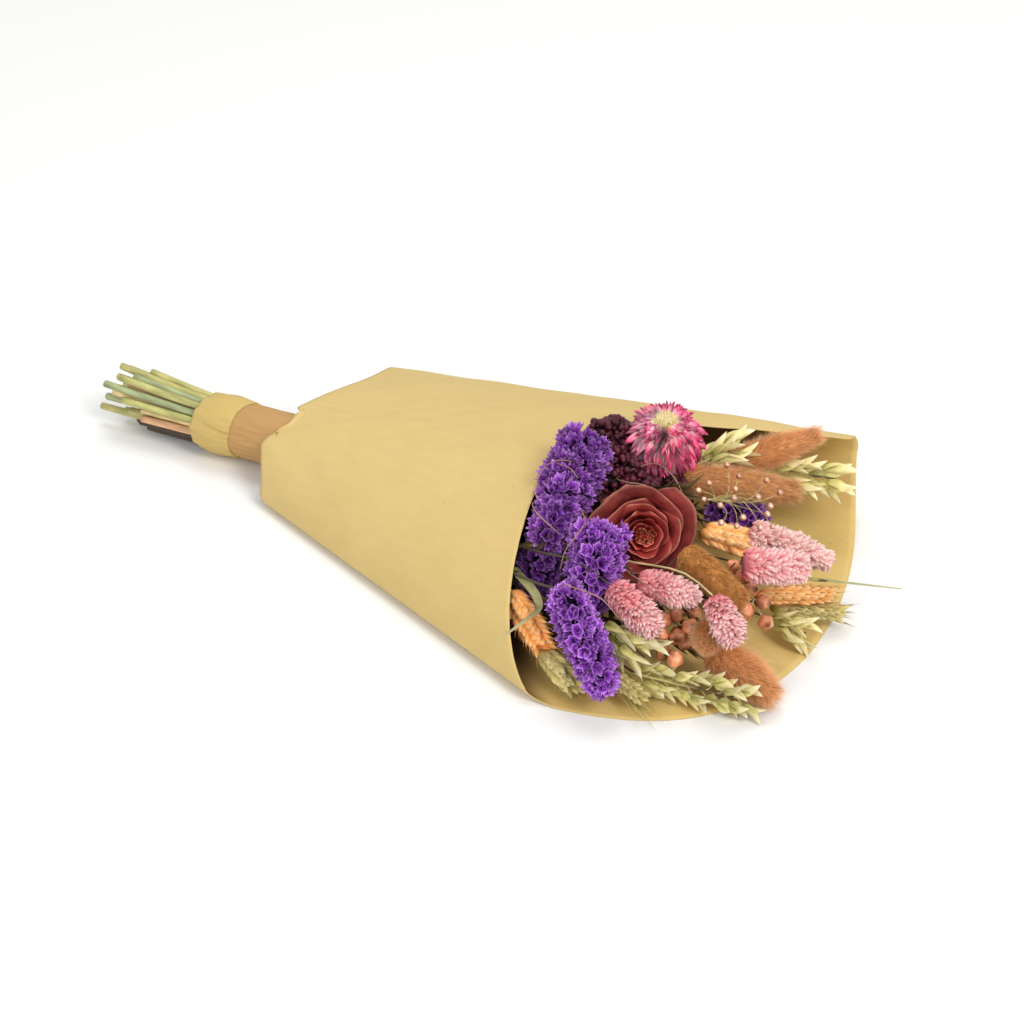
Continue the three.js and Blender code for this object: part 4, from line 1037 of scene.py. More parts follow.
# %% Curled wisps
WISPS = {
    "statice_a": [
        [(166, -12, 71), (158.4, -23.3, 73.7), (154.2, -24.4, 69), (155.6, -31.3, 66), (159.2, -37.2, 64.5),
         (164, -40, 63)],
        [(157, -20, 71), (161.5, -21.5, 72.5), (165.5, -20.1, 71.5), (171.6, -21.3, 69)],
        [(158, -36, 58), (160.1, -40, 60), (167.8, -46.1, 60.5), (174.5, -47.1, 58.5), (179, -44, 53)]],
    "statice_b": [
        [(189, -39, 66), (191.4, -44.3, 70), (196.5, -48.6, 69), (197, -55.8, 65), (191, -56, 54),
         (191, -59, 47)],
        [(212, -38, 46), (214.3, -41.1, 47), (228.4, -48.3, 50), (237, -46, 44), (243, -38, 38),
         (256, -42, 39)]],
    "statice_c": [
        [(203, -74, 50), (206.3, -75.7, 54), (211.4, -73.5, 53), (219, -67, 48), (228, -62, 36)]],
    "burgundy": [
        [(170, 10, 55), (176.4, 14.7, 59), (182, 24, 60), (191.4, 22, 60), (201, 17, 58), (209, 12, 52)],
        [(176, 20, 54), (172, 8, 56), (182, 2, 60), (190, 5, 60), (197, 10, 55)]]}
WISP_THICK, WISP_TIP = 0.34, 0.14


def add_wisps(pile, name, slot):
    for knots in WISPS.get(name, []):
        line, radii = smooth_line(knots, [WISP_THICK, *[0.28] * (len(knots) - 2), WISP_TIP], 40)
        pile.add(*tube(line, radii, 5), own=0.5, slot=slot)


print(sum(len(lines) for lines in WISPS.values()), "curled wisps")

# %% Statice sprays
STATICE_CAP = 14


def statice(letter, count, seed, grow, slim, end, smallest, largest, tone):
    random = np.random.default_rng(seed)
    name = "statice_" + letter
    room = Room(name, grow)
    pile = Pile()
    # The core takes the darkest colour of the statice finish: painted shade in the gaps between the cups.
    pile.add(*room.core(0.60 * (0.4 + 0.6 * slim), end - 0.02))
    spots, out, h = room.spots(count, 0.03, end, 0.66, random)
    spots[:, :2] *= mix(slim, 1.0, h)[:, None]
    lean = out + UP * mix(-0.35, 1.4, h)[:, None]
    for share, way, reach in ((end - 0.03, 1.0, 0.66), (0.06, -0.9, 0.66 * slim)):
        top, aside = room.cap(STATICE_CAP, share, reach, 1.5 * way)
        spots = np.concatenate([spots, top])
        lean = np.concatenate([lean, aside + UP * way])
    count += 2 * STATICE_CAP
    lean = lean + random.normal(0, 0.26, (count, 3))
    frames = frames_of(room.turn(lean), random.normal(size=(count, 3)))
    wide = random.uniform(smallest, largest, count)
    deep = wide * random.uniform(0.7, 1.0, count)
    long = wide * random.uniform(0.65, 0.9, count)
    own = tone + 0.75 * random.random(count)
    pile.scatter(FUNNEL, room.world(spots), frames, sized(wide, deep, long), own)
    add_wisps(pile, name, 1)
    pile.piece(name + "_spray", [STATICE, WISP], [name + "_florets"], "statice_violet")


# Each spray: cups, seed, growth of the room, slimness at the root, end, smallest and largest cup, tone
STATICE_SPRAYS = {
    "a": (370, 1, 1.05, 0.62, 0.83, 4.2, 8.0, 0.05),
    "b": (205, 2, 1.05, 0.80, 0.82, 4.2, 7.4, 0.3),
    "c": (250, 3, 0.87, 0.90, 0.97, 3.8, 6.5, 0.3),
    "d": (110, 4, 1.15, 1.00, 0.98, 4.2, 7.4, 0.0),
    "e": (100, 5, 0.94, 1.00, 0.94, 4.0, 6.8, -0.3)}
for letter, numbers in STATICE_SPRAYS.items():
    statice(letter, *numbers)

# %% [markdown]
# ## Strawflower
# What look like petals are stiff pointed bracts in many rings. The outer rings hang, the middle ones spread
# and the inner ones stand round the fuzzy disc, so each ring gets its own tilt and length. Bracts on one side
# of the flower, the left in the view, take a paler copy of the magenta with whiter bases, a painted
# highlight. The disc is a low dome of short cream spikes.

# %% Strawflower bracts
PAINTED_LIGHT_SIDE = unit(np.array([-0.9, -0.4, 0.1]))
RAY_RINGS = 10


def strawflower_rays(room, random):
    pile = Pile()
    pile.add(*room.core(0.26, 0.66), along=0.6, own=0.2)
    for level in range(RAY_RINGS):
        t = level / (RAY_RINGS - 1)
        count = round(mix(36, 28, t))
        angle = (np.arange(count) + 0.5 * level) / count * FULL_TURN + random.normal(0, 0.05, count)
        out = spokes(angle)
        rise = np.radians(mix(-32, 52, t) + random.normal(0, 6, count))[:, None]
        lean = out * np.cos(rise) + UP * np.sin(rise)
        under = out * np.sin(rise) - UP * np.cos(rise)
        long = mix(17.5, 7.2, t**1.2) * random.uniform(0.82, 1.1, count)
        wide = mix(2.9, 2.0, t) * random.uniform(0.85, 1.15, count)
        roots = out * mix(4.6, 5.3, t) + UP * mix(8.5, 18.0, t)
        shape = leaf(0.5, 0.75, keel=0.8, curl=mix(0.16, -0.14, t), hollow=0.03, across=5, rows=8)
        sizes = sized(wide, long * 0.9, long)
        frames = frames_of(room.turn(lean), room.turn(under), random.normal(0, 0.25, count))
        own = random.random(count)
        # Bracts that face this side get the paler copy of the magenta: a painted highlight.
        pale = unit(room.turn(out)) @ PAINTED_LIGHT_SIDE + random.normal(0, 0.25, count) > 0.55
        for kind, chosen in ((0, ~pale), (1, pale)):
            pile.scatter(shape, room.world(roots)[chosen], frames[chosen], sizes[chosen], own[chosen], kind)
    pile.piece("strawflower_rays", [MAGENTA, MAGENTA_PAINTED_LIGHT], ["strawflower_bracts"], "strawflower_bract")


flower_room, flower_random = Room("strawflower"), np.random.default_rng(21)
strawflower_rays(flower_room, flower_random)

# %% Strawflower disc
DISC_SPIKES, SPIKE_THICK = 460, 0.62
DOME_RADIUS, DOME_HEIGHT = 5.4, 20.2


def strawflower_disc(room, random):
    disc = Pile()
    count = DISC_SPIKES
    share, out = sunflower(count)
    height = DOME_HEIGHT + 1.5 * (1 - share**2)
    roots = out * (share * DOME_RADIUS)[:, None] + UP * height[:, None]
    lean = out * (0.9 * share**2)[:, None] + UP + random.normal(0, 0.1, (count, 3))
    long = mix(1.5, 3.2, share**2) * random.uniform(0.8, 1.2, count)
    frames = frames_of(room.turn(lean), random.normal(size=(count, 3)))
    sizes = sized(SPIKE_THICK, SPIKE_THICK, long)
    spike = grain(0.55, 0.5, around=4, rows=4)
    disc.scatter(spike, room.world(roots), frames, sizes, random.random(count))
    turn, v = np.meshgrid(round_steps(24), np.linspace(0, 1, 7))
    dome = round_points(DOME_RADIUS * v, turn, DOME_HEIGHT + 1.7 * (1 - v**2))
    disc.add(room.world(dome), grid_faces(24, 7, True), along=0.2)
    disc.piece("strawflower_cushion", [DISC], ["strawflower_disc"], "strawflower_disc")


strawflower_disc(flower_room, flower_random)

# %% [markdown]
# ## Rose
# The rose is wound from broad petals in golden-angle order. Near the heart they stand in a tight roll,
# farther out they lean back, and their dried rims curl over and pale. Each petal is one grid in round
# coordinates: an angle across it, and a distance from the axis that grows with height. A cup below the
# petals closes the middle, and a few short spikes stand in the heart.

# %% Rose
PETALS, PETAL_ACROSS, PETAL_ROWS = 23, 25, 18
PETAL_FOOT = 4.0
CUP = np.array([[0, 0], [3, 0], [8, 3], [9, 9], [6, 18], [2.6, 22.6], [0, 23]], float)
HEART_SPIKES, HEART_RADIUS, HEART_HEIGHT, HEART_THICK = 46, 2.8, 22.0, 0.8


def petal(k, u, v, random):
    t = k / (PETALS - 1)
    radius = mix(1.4, 21.5, t**0.9)
    rise = mix(26.5, 25.5, t) + 1.2 * math.sin(2.2 * math.pi * t)
    half = mix(2.5, 1.25, t**0.6)
    roll = mix(0.3, 4.2, max(0.0, (t - 0.3) / 0.7))
    crown = 1 - 0.10 * np.abs(u) ** 2 - 0.28 * np.abs(u) ** 5
    rounding = 1 - 0.42 * np.clip((v - 0.55) / 0.45, 0, 1) ** 2.2
    opening = 0.45 + 0.55 * np.sin(v**0.7 * math.pi / 2)
    angle = k * GOLDEN_ANGLE + u * half * opening * rounding
    lip = np.clip((v - 0.80) / 0.20, 0, 1)
    wave = random.uniform(0, 6.28, 3)
    r = radius * (0.30 + 0.70 * v**0.8) + 0.11 * radius * u * v + roll * lip**1.4
    r = r + 0.12 * (1 - t) * radius * v**2
    r = r + (0.25 + 0.5 * t) * np.sin(3.3 * u + wave[0]) * v + 0.22 * np.sin(9 * u + wave[1]) * lip
    z = PETAL_FOOT + (rise - PETAL_FOOT) * v * crown - roll * 0.75 * lip**2.4
    z = z + (0.3 + 0.7 * t) * np.sin(2.7 * u + wave[2]) * v**2
    shade = 0.24 + 0.96 * (1 - t) ** 2.6 + random.uniform(-0.07, 0.07)
    return round_points(r, angle, z), shade


def rose():
    random = np.random.default_rng(31)
    room = Room("rose")
    pile = Pile()
    u, v = np.meshgrid(np.linspace(-1, 1, PETAL_ACROSS), np.linspace(0, 1, PETAL_ROWS))
    rim = np.maximum(v, np.abs(u) ** 7 * (v > 0.4)).ravel()
    for k in range(PETALS):
        points, shade = petal(k, u, v, random)
        pile.add(room.world(points), grid_faces(PETAL_ACROSS, PETAL_ROWS), rim, shade)
    cup = round_points(CUP[:, :1], round_steps(20), CUP[:, 1:])
    pile.add(room.world(cup), grid_faces(20, len(CUP), True), along=0.5, own=0.8)
    count = HEART_SPIKES
    share, out = sunflower(count)
    roots = out * (share * HEART_RADIUS)[:, None] + UP * HEART_HEIGHT
    sizes = sized(HEART_THICK, HEART_THICK, random.uniform(2.5, 5.0, count))
    lean = room.turn(out * 0.5 + UP + random.normal(0, 0.25, (count, 3)))
    frames = frames_of(lean, random.normal(size=(count, 3)))
    spike = grain(0.6, 0.5, around=5, rows=5, curl=0.4)
    pile.scatter(spike, room.world(roots), frames, sizes, random.random(count), 1)
    pile.piece("rose_bloom", [ROSE, ROSE_HEART], ["rose_petals"], "rose_petal")


rose()

# %% [markdown]
# ## Hare's-tail grass
# A hare's tail is a soft oval of fine hairs that lean towards its tip. Hair strands would be dropped
# when the model is saved, so every hair here is a thin three-sided spike, and some 3,000 to 4,000 of
# them cover a core. A tuft of some more closes the tip. The hairs are paler at their ends than at their
# roots, which gives the downy outline.

# %% Hare's tails
HAIR = hair(3.2, 3)
HAIR_THICK, TUFT_HAIRS = 0.26, 260


def hare_tail(number, finish, count, fluff, grow, tone):
    random = np.random.default_rng(40 + number)
    name = f"lagurus_{number}"
    room = Room(name, grow)
    pile = Pile()
    pile.add(*room.core(0.66, 0.97, sides=20, rings=16), along=0.35, own=tone)
    spots, out, h = room.spots(count, 0.0, 0.995, 0.62, random, jitter=0.6)
    lean = out * mix(0.8, 0.35, h)[:, None] + UP * mix(0.75, 1.5, h)[:, None]
    lean = lean + random.normal(0, 0.22, (count, 3))
    long = (room.radius(h * room.length) * 0.38 + fluff) * random.uniform(0.7, 1.25, count)
    own = tone + random.uniform(-0.2, 0.2, count)
    frames = frames_of(room.turn(lean), room.turn(out + random.normal(0, 0.5, (count, 3))))
    pile.scatter(HAIR, room.world(spots), frames, sized(HAIR_THICK, HAIR_THICK, long), own)
    spread = random.normal(0, 0.9, (TUFT_HAIRS, 3)) * [1, 1, 0.5]
    spots = room.world(UP * room.length * 0.93 + spread)
    lean = room.turn(UP + random.normal(0, 0.45, (TUFT_HAIRS, 3)))
    long = (1.5 + fluff) * random.uniform(0.6, 1.1, TUFT_HAIRS)
    frames = frames_of(lean, random.normal(size=(TUFT_HAIRS, 3)))
    pile.scatter(HAIR, spots, frames, sized(HAIR_THICK, HAIR_THICK, long), own[:TUFT_HAIRS])
    pile.piece(name + "_tail", [finish], [name + "_head"], "hares_tail")


# Each tail: number, finish, hairs, fluff, growth of the room, tone; the lower tone of tail 2 is painted
# shade, for it lies partly in shade
TAILS = [(1, TAN_HAIR, 3800, 3.4, 1.2, 0.8), (2, TAN_HAIR, 3800, 2.8, 1.2, 0.5),
         (3, OLIVE_HAIR, 3400, 1.0, 1.12, 0.8), (4, TAN_HAIR, 2800, 1.8, 1.0, 0.65),
         (5, TAN_HAIR, 4200, 4.0, 1.18, 0.8)]
for numbers in TAILS:
    hare_tail(*numbers)

# %% [markdown]
# ## Canary grass
# A canary-grass head is a dense oval of keeled scales in close spirals, dyed pink. Each scale is a
# boat-shaped leaf with a pale tip that stands off the head a little, so the head looks frilled. The dye
# is stronger near the stalk, so the lower scales use only the deeper part of the colour range.

# %% Canary grass
SCALE = leaf(0.5, 0.75, keel=1.1, curl=-0.04, hollow=0.05, across=5, rows=6)
DEEP_SCALE = (*SCALE[:2], SCALE[2] * 0.62)
CANARY_CAP = 26


def canary_grass(number, finish, count, start, end, grow, deep_to, seed):
    random = np.random.default_rng(seed)
    name = f"phalaris_{number}"
    room = Room(name, grow)
    pile = Pile()
    pile.add(*room.core(0.58, end, low=start + 0.03), along=0.3, own=0.5)
    spots, out, h = room.spots(count, start, end, 0.62, random, jitter=0.15)
    top, aside = room.cap(CANARY_CAP, end - 0.01, 0.6, 1.5)
    spots = np.concatenate([spots, top])
    lean = np.concatenate([out * mix(1.0, 0.35, h)[:, None] + UP, aside * 0.5 + UP])
    out = np.concatenate([out, aside + 0.01])
    h = np.concatenate([h, np.full(CANARY_CAP, end)])
    count += CANARY_CAP
    lean = lean + random.normal(0, 0.09, (count, 3))
    long = mix(4.6, 5.4, h) * random.uniform(0.85, 1.15, count)
    wide = random.uniform(2.0, 2.9, count)
    frames = frames_of(room.turn(lean), room.turn(out), random.normal(0, 0.25, count))
    sizes = sized(wide, wide * 1.3, long)
    deep = h + random.normal(0, 0.1, count) < deep_to
    own = random.random(count)
    for shape, chosen in ((DEEP_SCALE, deep), (SCALE, ~deep)):
        pile.scatter(shape, room.world(spots)[chosen], frames[chosen], sizes[chosen], own[chosen])
    pile.piece(name + "_ear", [finish], [name + "_head"], "canary_grass_pink")


# Each head: number, finish, scales, start, end, growth of the room, share with the deeper dye
CANARY = [(1, PALE_PINK, 420, 0.08, 0.90, 1.15, 0.0), (2, PINK, 340, 0.11, 0.80, 1.15, 0.20),
          (3, PINK, 270, 0.05, 0.74, 1.05, 0.22), (4, PINK, 330, 0.03, 0.82, 1.0, 0.42),
          (5, PINK, 360, 0.03, 0.80, 1.05, 0.48)]
for number, *values in CANARY:
    canary_grass(number, *values, 60 + number)

# %% [markdown]
# ## Beads and capsules
# Three plants carry round seeds on fine twigs: crowded burgundy beads, brown flax capsules with a small
# beak, and tiny copper beads on wiry branches. Each seed is placed where it is seen, and a bent twig is
# drawn to it from the plant's own stem, so nothing floats.

# %% One seed, one twig
TWIG_RINGS, TWIG_LIT = 9, 0.55


def ball(around, rows, ribs=0, depth=0.0, beak=0.0):
    angle, tilt = np.meshgrid(round_steps(around), np.linspace(0.04, math.pi - 0.04, rows))
    r = 0.5 * np.sin(tilt) * (1 + depth * np.cos(ribs * angle))
    z = 0.5 - 0.5 * np.cos(tilt) + beak * np.clip((tilt - 2.6) / 0.5, 0, 1) ** 2
    return round_points(r, angle, z), grid_faces(around, rows, True), (tilt / math.pi).ravel()


def twig(pile, start, way, end, radius, tone):
    start, end = np.asarray(start, float), np.asarray(end, float)
    reach = np.linalg.norm(end - start)
    middle = start + unit(way) * reach * 0.5
    t = np.linspace(0, 1, TWIG_RINGS)[:, None]
    line = start * (1 - t) ** 2 + middle * 2 * t * (1 - t) + end * t**2
    points, faces, along = tube(line, np.linspace(radius, radius * 0.7, TWIG_RINGS), 5)
    pile.add(points, faces, along * TWIG_LIT, tone)
    return unit(end - middle)


BEAD = ball(7, 6)
CAPSULE = ball(20, 10, ribs=5, depth=0.09, beak=0.14)
print("one capsule has", len(CAPSULE[1]), "faces")

# %% A spray of seeds
CALYX = leaf(0.45, 0.7, keel=0.2, curl=-0.35, across=3, rows=5)
CALYX_SIZE, CALYX_LEAVES, CALYX_TURN = [2.0, 3.4, 3.6], 5, 1.2566


def add_seeds(pile, shape, spots, ways, radius, own):
    frames = frames_of(ways, np.roll(ways, 1, axis=1) + 0.3)
    wide = 2 * radius
    pile.scatter(shape, spots - ways * radius[:, None], frames, sized(wide, wide, wide), own, 1)


def add_calyx(pile, spots, ways, radii, random):
    for k in range(CALYX_LEAVES):
        twist = np.full(len(ways), k * CALYX_TURN)
        turned = frames_of(ways, np.roll(ways, 1, axis=1) + 0.3, twist)
        tilt = unit(turned[:, 2] * 0.75 + turned[:, 1] * 0.9)
        frames = frames_of(tilt, turned[:, 1])
        sizes = np.tile(CALYX_SIZE, (len(ways), 1))
        pile.scatter(CALYX, spots - ways * radii[:, None], frames, sizes, random.random(len(ways)), 2)


def add_trunk(pile, node, share, tone, radius=0.9):
    line, thick = add_stem(pile, node, node, tone, sink=0.0)
    room = Room(node)
    top = room.foot + room.axis * room.length * share
    knots = np.stack([line[-1] - room.axis, mix(line[-1], top, 0.5), top])
    pile.add(*tube(knots, [thick[-1], radius, radius * 0.6], 8), own=tone)
    return line, thick, room


def seed_spray(node, name, slot, spots, radius, shape, finish, seed, tone, wire, share, calyx):
    random = np.random.default_rng(seed)
    pile = Pile()
    line, thick, room = add_trunk(pile, node, share, tone, max(wire * 1.6, 0.5))
    add_dry_leaves(pile, line, thick, 50, seed, 2)
    spots = np.asarray(spots, float)
    radii = radius * random.uniform(0.88, 1.12, len(spots))
    ways = []
    for spot in spots:
        far = spot - room.foot
        height = np.clip(far @ room.axis - 0.6 * np.linalg.norm(far), 0.5, room.length * share)
        start = room.foot + room.axis * height
        ways.append(twig(pile, start, room.axis + 0.3 * random.normal(size=3), spot, wire, tone))
    ways = np.array(ways)
    add_seeds(pile, shape, spots, ways, radii, random.random(len(spots)))
    if calyx:
        add_calyx(pile, spots, ways, radii, random)
    pile.piece(name, [STEM, finish, LEAF_AND_SHADE], [node], slot)


print("each flax capsule sits in", CALYX_LEAVES, "small leaves")

# %% Flax and copper beads
FLAX_NEAR = [(235, -31, 27), (232, -37, 26), (244.5, -34, 26), (242, -40, 23), (239.5, -24, 26),
             (236, -44, 24), (247, -28, 20), (230, -31, 23), (238, -33, 19), (243, -36, 18), (231, -40, 20)]
FLAX_RIGHT = [(256.5, -9, 27), (259.5, 1.5, 27), (266, -6, 23), (250.5, 5.5, 28), (244, 8, 31),
              (237, 10, 32), (252, -2, 20)]
FLAX_LOW = [(248.4, -50.7, 20), (241, -49, 19)]
COPPER_AT = [(209, 44, 60), (219, 39, 60), (230, 45.5, 59), (239, 43, 57), (212, 25, 60),
             (213.6, 14, 62), (219, 10.6, 61), (226.7, 12.4, 60), (235, 30.5, 59), (242, 30.3, 57),
             (244, 25, 56), (233.7, 3, 58), (239.7, 6.6, 57), (238.7, 13, 58), (247, 14.8, 55),
             (250, 20.3, 54), (225, 27, 61), (229, 20, 61)]
for node_name, name, places, *numbers in (("flax_1", "flax_near", FLAX_NEAR, 71, 0.1, 0.45, 0.6),
                                          ("flax_2", "flax_right", FLAX_RIGHT, 72, 0.6, 0.45, 0.6),
                                          ("flax_3", "flax_low", FLAX_LOW, 73, 1.0, 0.45, 0.4)):
    seed_spray(node_name, name, "flax_capsule", places, 3.7, CAPSULE, FLAX, *numbers, calyx=True)
seed_spray("copper_beads", "copper_spray", "copper_bead", COPPER_AT, 1.45, ball(9, 7), COPPER,
           seed=74, tone=0.2, wire=0.2, share=0.6, calyx=False)

# %% [markdown]
# The burgundy beads sit so close that they cannot be placed one by one. Eleven small round clumps are placed
# instead, each a dark ball with beads scattered over it. The ball takes the darkest colour of the beads,
# painted shade for the crowded inside of the clump.

# %% Burgundy cluster
BURGUNDY_AT = [(152, 33, 61, 8), (157, 27, 60, 9), (161, 18, 57, 9), (167, 9, 52, 8),
               (176, 17, 50, 7), (168, -4, 46, 7), (183, 20, 48, 6), (190, 30, 46, 6),
               (152, 22, 66, 7), (156, 29, 66, 7), (173, 18, 56, 6)]
BEADS_PER_AREA = 1.15


def burgundy():
    random = np.random.default_rng(81)
    spots, owns = [], []
    for x, y, z, r in BURGUNDY_AT:
        count = round(r * r * BEADS_PER_AREA)
        ways = unit(random.normal(size=(count, 3)) + [0, 0, 0.25])
        spots.append(np.array([x, y, z]) + ways * r * random.uniform(0.75, 1.0, (count, 1)))
        owns.append(random.random(count))
    spots = np.concatenate(spots)
    pile = Pile()
    line, thick, room = add_trunk(pile, "burgundy_beads", 0.8, 0.05)
    add_dry_leaves(pile, line, thick, 30, 82, 2)
    turn, v = np.meshgrid(round_steps(12), np.linspace(0.05, math.pi - 0.05, 8))
    heart = round_points(np.sin(v), turn, np.cos(v))
    for x, y, z, r in BURGUNDY_AT:
        twig(pile, room.foot, room.axis, (x, y, z), 0.8, 1.0)
        # The dark ball: painted shade inside the clump.
        pile.add(heart * r * 0.6 + [x, y, z], grid_faces(12, 8, True), slot=1)
    ways = unit(spots - room.foot)
    radii = random.uniform(1.3, 2.3, len(spots))
    add_seeds(pile, BEAD, spots, ways, radii, np.concatenate(owns))
    add_wisps(pile, "burgundy", 3)
    pile.piece("burgundy_cluster", [STEM, BURGUNDY, LEAF_AND_SHADE, WISP], ["burgundy_beads"], "burgundy_bead")


burgundy()

# %% [markdown]
# ## Wheat
# An ear of wheat has two ranks of spikelets, left and right, and each spikelet fans into four plump pointed
# grains. We turn the ranks so that they lie left and right as seen from the open side of the bouquet, where
# they show their braid. Some ears keep long bristles, the awns. Two of the orange ears are moved a little
# towards the open side, out of the heads that would cover them. The same two are also coloured lighter,
# painted light where shade falls on them, and the near one takes a lighter, more saturated copy of the
# orange.

# %% Wheat ears
GRAIN = grain(0.42, 0.72, around=8, rows=8, flat=0.72, curl=-0.10)
AWN, AWN_THICK = hair(1.5, 4), 0.5
GRAIN_FAN_DEG = [-78, -28, 28, 78]
EAR_FROM, EAR_TO = 0.02, 0.80


def wheat(node, name, slot, finish, seed, levels, awn, grow, nearer=0.0, spread=0.46, shade=0.0):
    random = np.random.default_rng(seed)
    pile = Pile()
    line, thick, room = add_trunk(pile, node, 0.9, 0.8 if slot == "orange_wheat" else 1.0, 1.2)
    add_dry_leaves(pile, line, thick, 60, seed, 2)
    room.foot = room.foot + OPEN_SIDE * nearer
    twig(pile, line[-1] - room.axis * 3, room.axis, room.foot + room.axis * 6, 1.0, 0.1)
    room.face(OPEN_SIDE)
    half_level = 0.5 * room.length * 0.8 / levels
    for level in range(levels):
        h = mix(EAR_FROM, EAR_TO, level / (levels - 1))
        thick_here = float(room.radius(h * room.length + 3)) * grow
        for rank in (-1, 1):
            fan = np.radians(GRAIN_FAN_DEG) + random.normal(0, 0.08, 4)
            out = np.stack([rank * np.cos(fan), np.sin(fan), 0 * fan], -1)
            lean = unit(out * spread + UP)
            roots = out * thick_here * 0.18 + UP * (h * room.length + half_level * (rank > 0))
            long = (thick_here * 0.85 + 4.6) * (0.46 / spread) ** 0.7 * random.uniform(0.9, 1.1, 4)
            wide = thick_here * 0.34 + 1.9 * random.uniform(0.9, 1.1, 4)
            frames = frames_of(room.turn(lean), room.turn(out))
            own = random.random(4) + shade
            pile.scatter(GRAIN, room.world(roots), frames, sized(wide, wide, long), own, 1)
            tips = room.world(roots) + room.turn(lean) * (long * 0.93)[:, None]
            sizes = sized(AWN_THICK, AWN_THICK, awn * random.uniform(0.5, 1.2, 4))
            pile.scatter(AWN, tips, frames_of(room.turn(lean + UP), room.turn(out)), sizes, own, 1)
    pile.piece(name, [STEM, finish, LEAF_AND_SHADE], [node], slot)


# Each ear: node, piece, finish, seed, levels, length of its awns, growth, and what else differs
# A positive shade colours an ear lighter: for the top and near orange ears that is painted light where shade
# falls on them. A negative shade only makes an ear darker.
ORANGE_EARS = [
    ("orange_wheat_1", "orange_ear_top", ORANGE, 91, 10, 3.0, 1.8,
     {"nearer": 9.0, "spread": 0.75, "shade": 0.4}),
    ("orange_wheat_2", "orange_ear_near", ORANGE_PAINTED_LIGHT, 92, 10, 4.5, 1.6,
     {"nearer": 11.0, "spread": 0.7, "shade": 0.7}),
    ("orange_wheat_3", "orange_ear_right", ORANGE, 93, 8, 7.0, 1.15, {"shade": -0.7})]
GREEN_EARS = [
    ("green_wheat_1", "wheat_ear_near", STRAW_GREEN, 94, 7, 4.0, 1.5, {}),
    ("green_wheat_2", "wheat_ear_right", STRAW_GREEN, 95, 8, 6.5, 1.15, {"shade": -0.4}),
    ("green_wheat_3", "wheat_ear_low", STRAW_GREEN, 96, 6, 16.0, 1.3, {})]
for slot, ears in (("orange_wheat", ORANGE_EARS), ("green_wheat", GREEN_EARS)):
    for node_name, name, *numbers, others in ears:
        wheat(node_name, name, slot, *numbers, **others)

# %% [markdown]
# ## Oats
# Oat husks are long, boat-shaped and ribbed, and they hang in pairs that gape at the tip. Every pair
# holds two narrower husks inside. They sit on short bent twigs along the stalk.

# %% Oat panicles
HUSK = leaf(0.36, 0.75, keel=0.95, curl=0.05, hollow=0.07, across=7, rows=9)
# The two outer husks and the two inner ones: how far they open, their length and their width
HUSKS = [(1, 1.0, 1), (-1, 0.95, 1), (0.4, 0.72, 0.8), (-0.4, 0.70, 0.8)]


def oats(node, name, seed, count, long, grow, gape, plump, shade=0.0):
    random = np.random.default_rng(seed)
    pile = Pile()
    line, thick, room = add_trunk(pile, node, 0.75, 0.1, 0.6)
    add_dry_leaves(pile, line, thick, 14, seed, 2)
    room.face(OPEN_SIDE)
    for k in range(count):
        angle = k * math.pi + random.normal(0, 0.55)
        out = np.array([math.cos(angle), math.sin(angle), 0.0])
        h = (k + 0.3) / count * max(room.length - long * 0.75, 2)
        spot = out * float(room.radius(h + 2)) * 0.42 * grow + UP * h
        root = room.world(UP * max(h - 4, -2))
        place = room.world(spot)
        lean = unit(room.turn(out * random.uniform(0.15, 0.42) + UP))
        twig(pile, root, room.axis, place, 0.35, 0.1)
        side = unit(np.cross(lean, room.front + 0.4 * random.normal(size=3)))
        size = long * random.uniform(0.88, 1.1)
        for opened, share_long, share_wide in HUSKS:
            way = unit(lean + side * gape * opened)
            frames = frames_of(way[None], (side * np.sign(opened))[None])
            wide = size * plump * share_wide
            sizes = np.array([[wide, wide, size * share_long]])
            pile.scatter(HUSK, place[None], frames, sizes, random.random(1) + shade, 1)
    pile.piece(name, [STEM, OAT, LEAF_AND_SHADE], [node], "oat_husk")


# Each panicle: piece, seed, pairs of husks, their length, growth, gape, plumpness, shade
OATS = {
    "oats_1": ("oat_husks_middle", 201, 7, 20.0, 1.2, 0.20, 0.38),
    # The far panicle's shade of 0.15 colours it lighter: painted light where it lies in shade.
    "oats_2": ("oat_husks_far", 202, 10, 17.0, 1.5, 0.22, 0.38, 0.15),
    "oats_3": ("oat_husks_top", 203, 6, 17.0, 1.3, 0.22, 0.38),
    "oats_4": ("oat_husks_right", 204, 6, 15.0, 1.2, 0.24, 0.38),
    "oats_5": ("oat_husks_near", 205, 18, 11.5, 1.5, 0.30, 0.54)}
for node_name, values in OATS.items():
    oats(node_name, *values)

# %% [markdown]
# ## Grass
# One thin blade runs out past the mouth, and one flat leaf is bent over the near edge of the cut. Both
# are folded ribbons, widest near their root.

# %% Blade and bent leaf
RIBBON_ACROSS = np.array([-1, -0.5, 0, 0.5, 1.0])
RIBBON_FOLD = 0.35


def ribbon(pile, knots, widths, face, own):
    line, half = smooth_line(knots, np.array(widths) / 2, 30)
    ahead = unit(np.gradient(line, axis=0))
    across = unit(np.cross(ahead, face))
    lift = np.cross(across, ahead)
    half = half[:, None]
    aside = across[:, None] * (half * RIBBON_ACROSS)[..., None]
    raised = lift[:, None] * (half * np.abs(RIBBON_ACROSS) * RIBBON_FOLD)[..., None]
    points = (line[:, None] + aside + raised).reshape(-1, 3)
    along = np.repeat(np.linspace(0.1, 1, len(line)), len(RIBBON_ACROSS))
    pile.add(points, grid_faces(len(RIBBON_ACROSS), len(line)), along, own, 1)


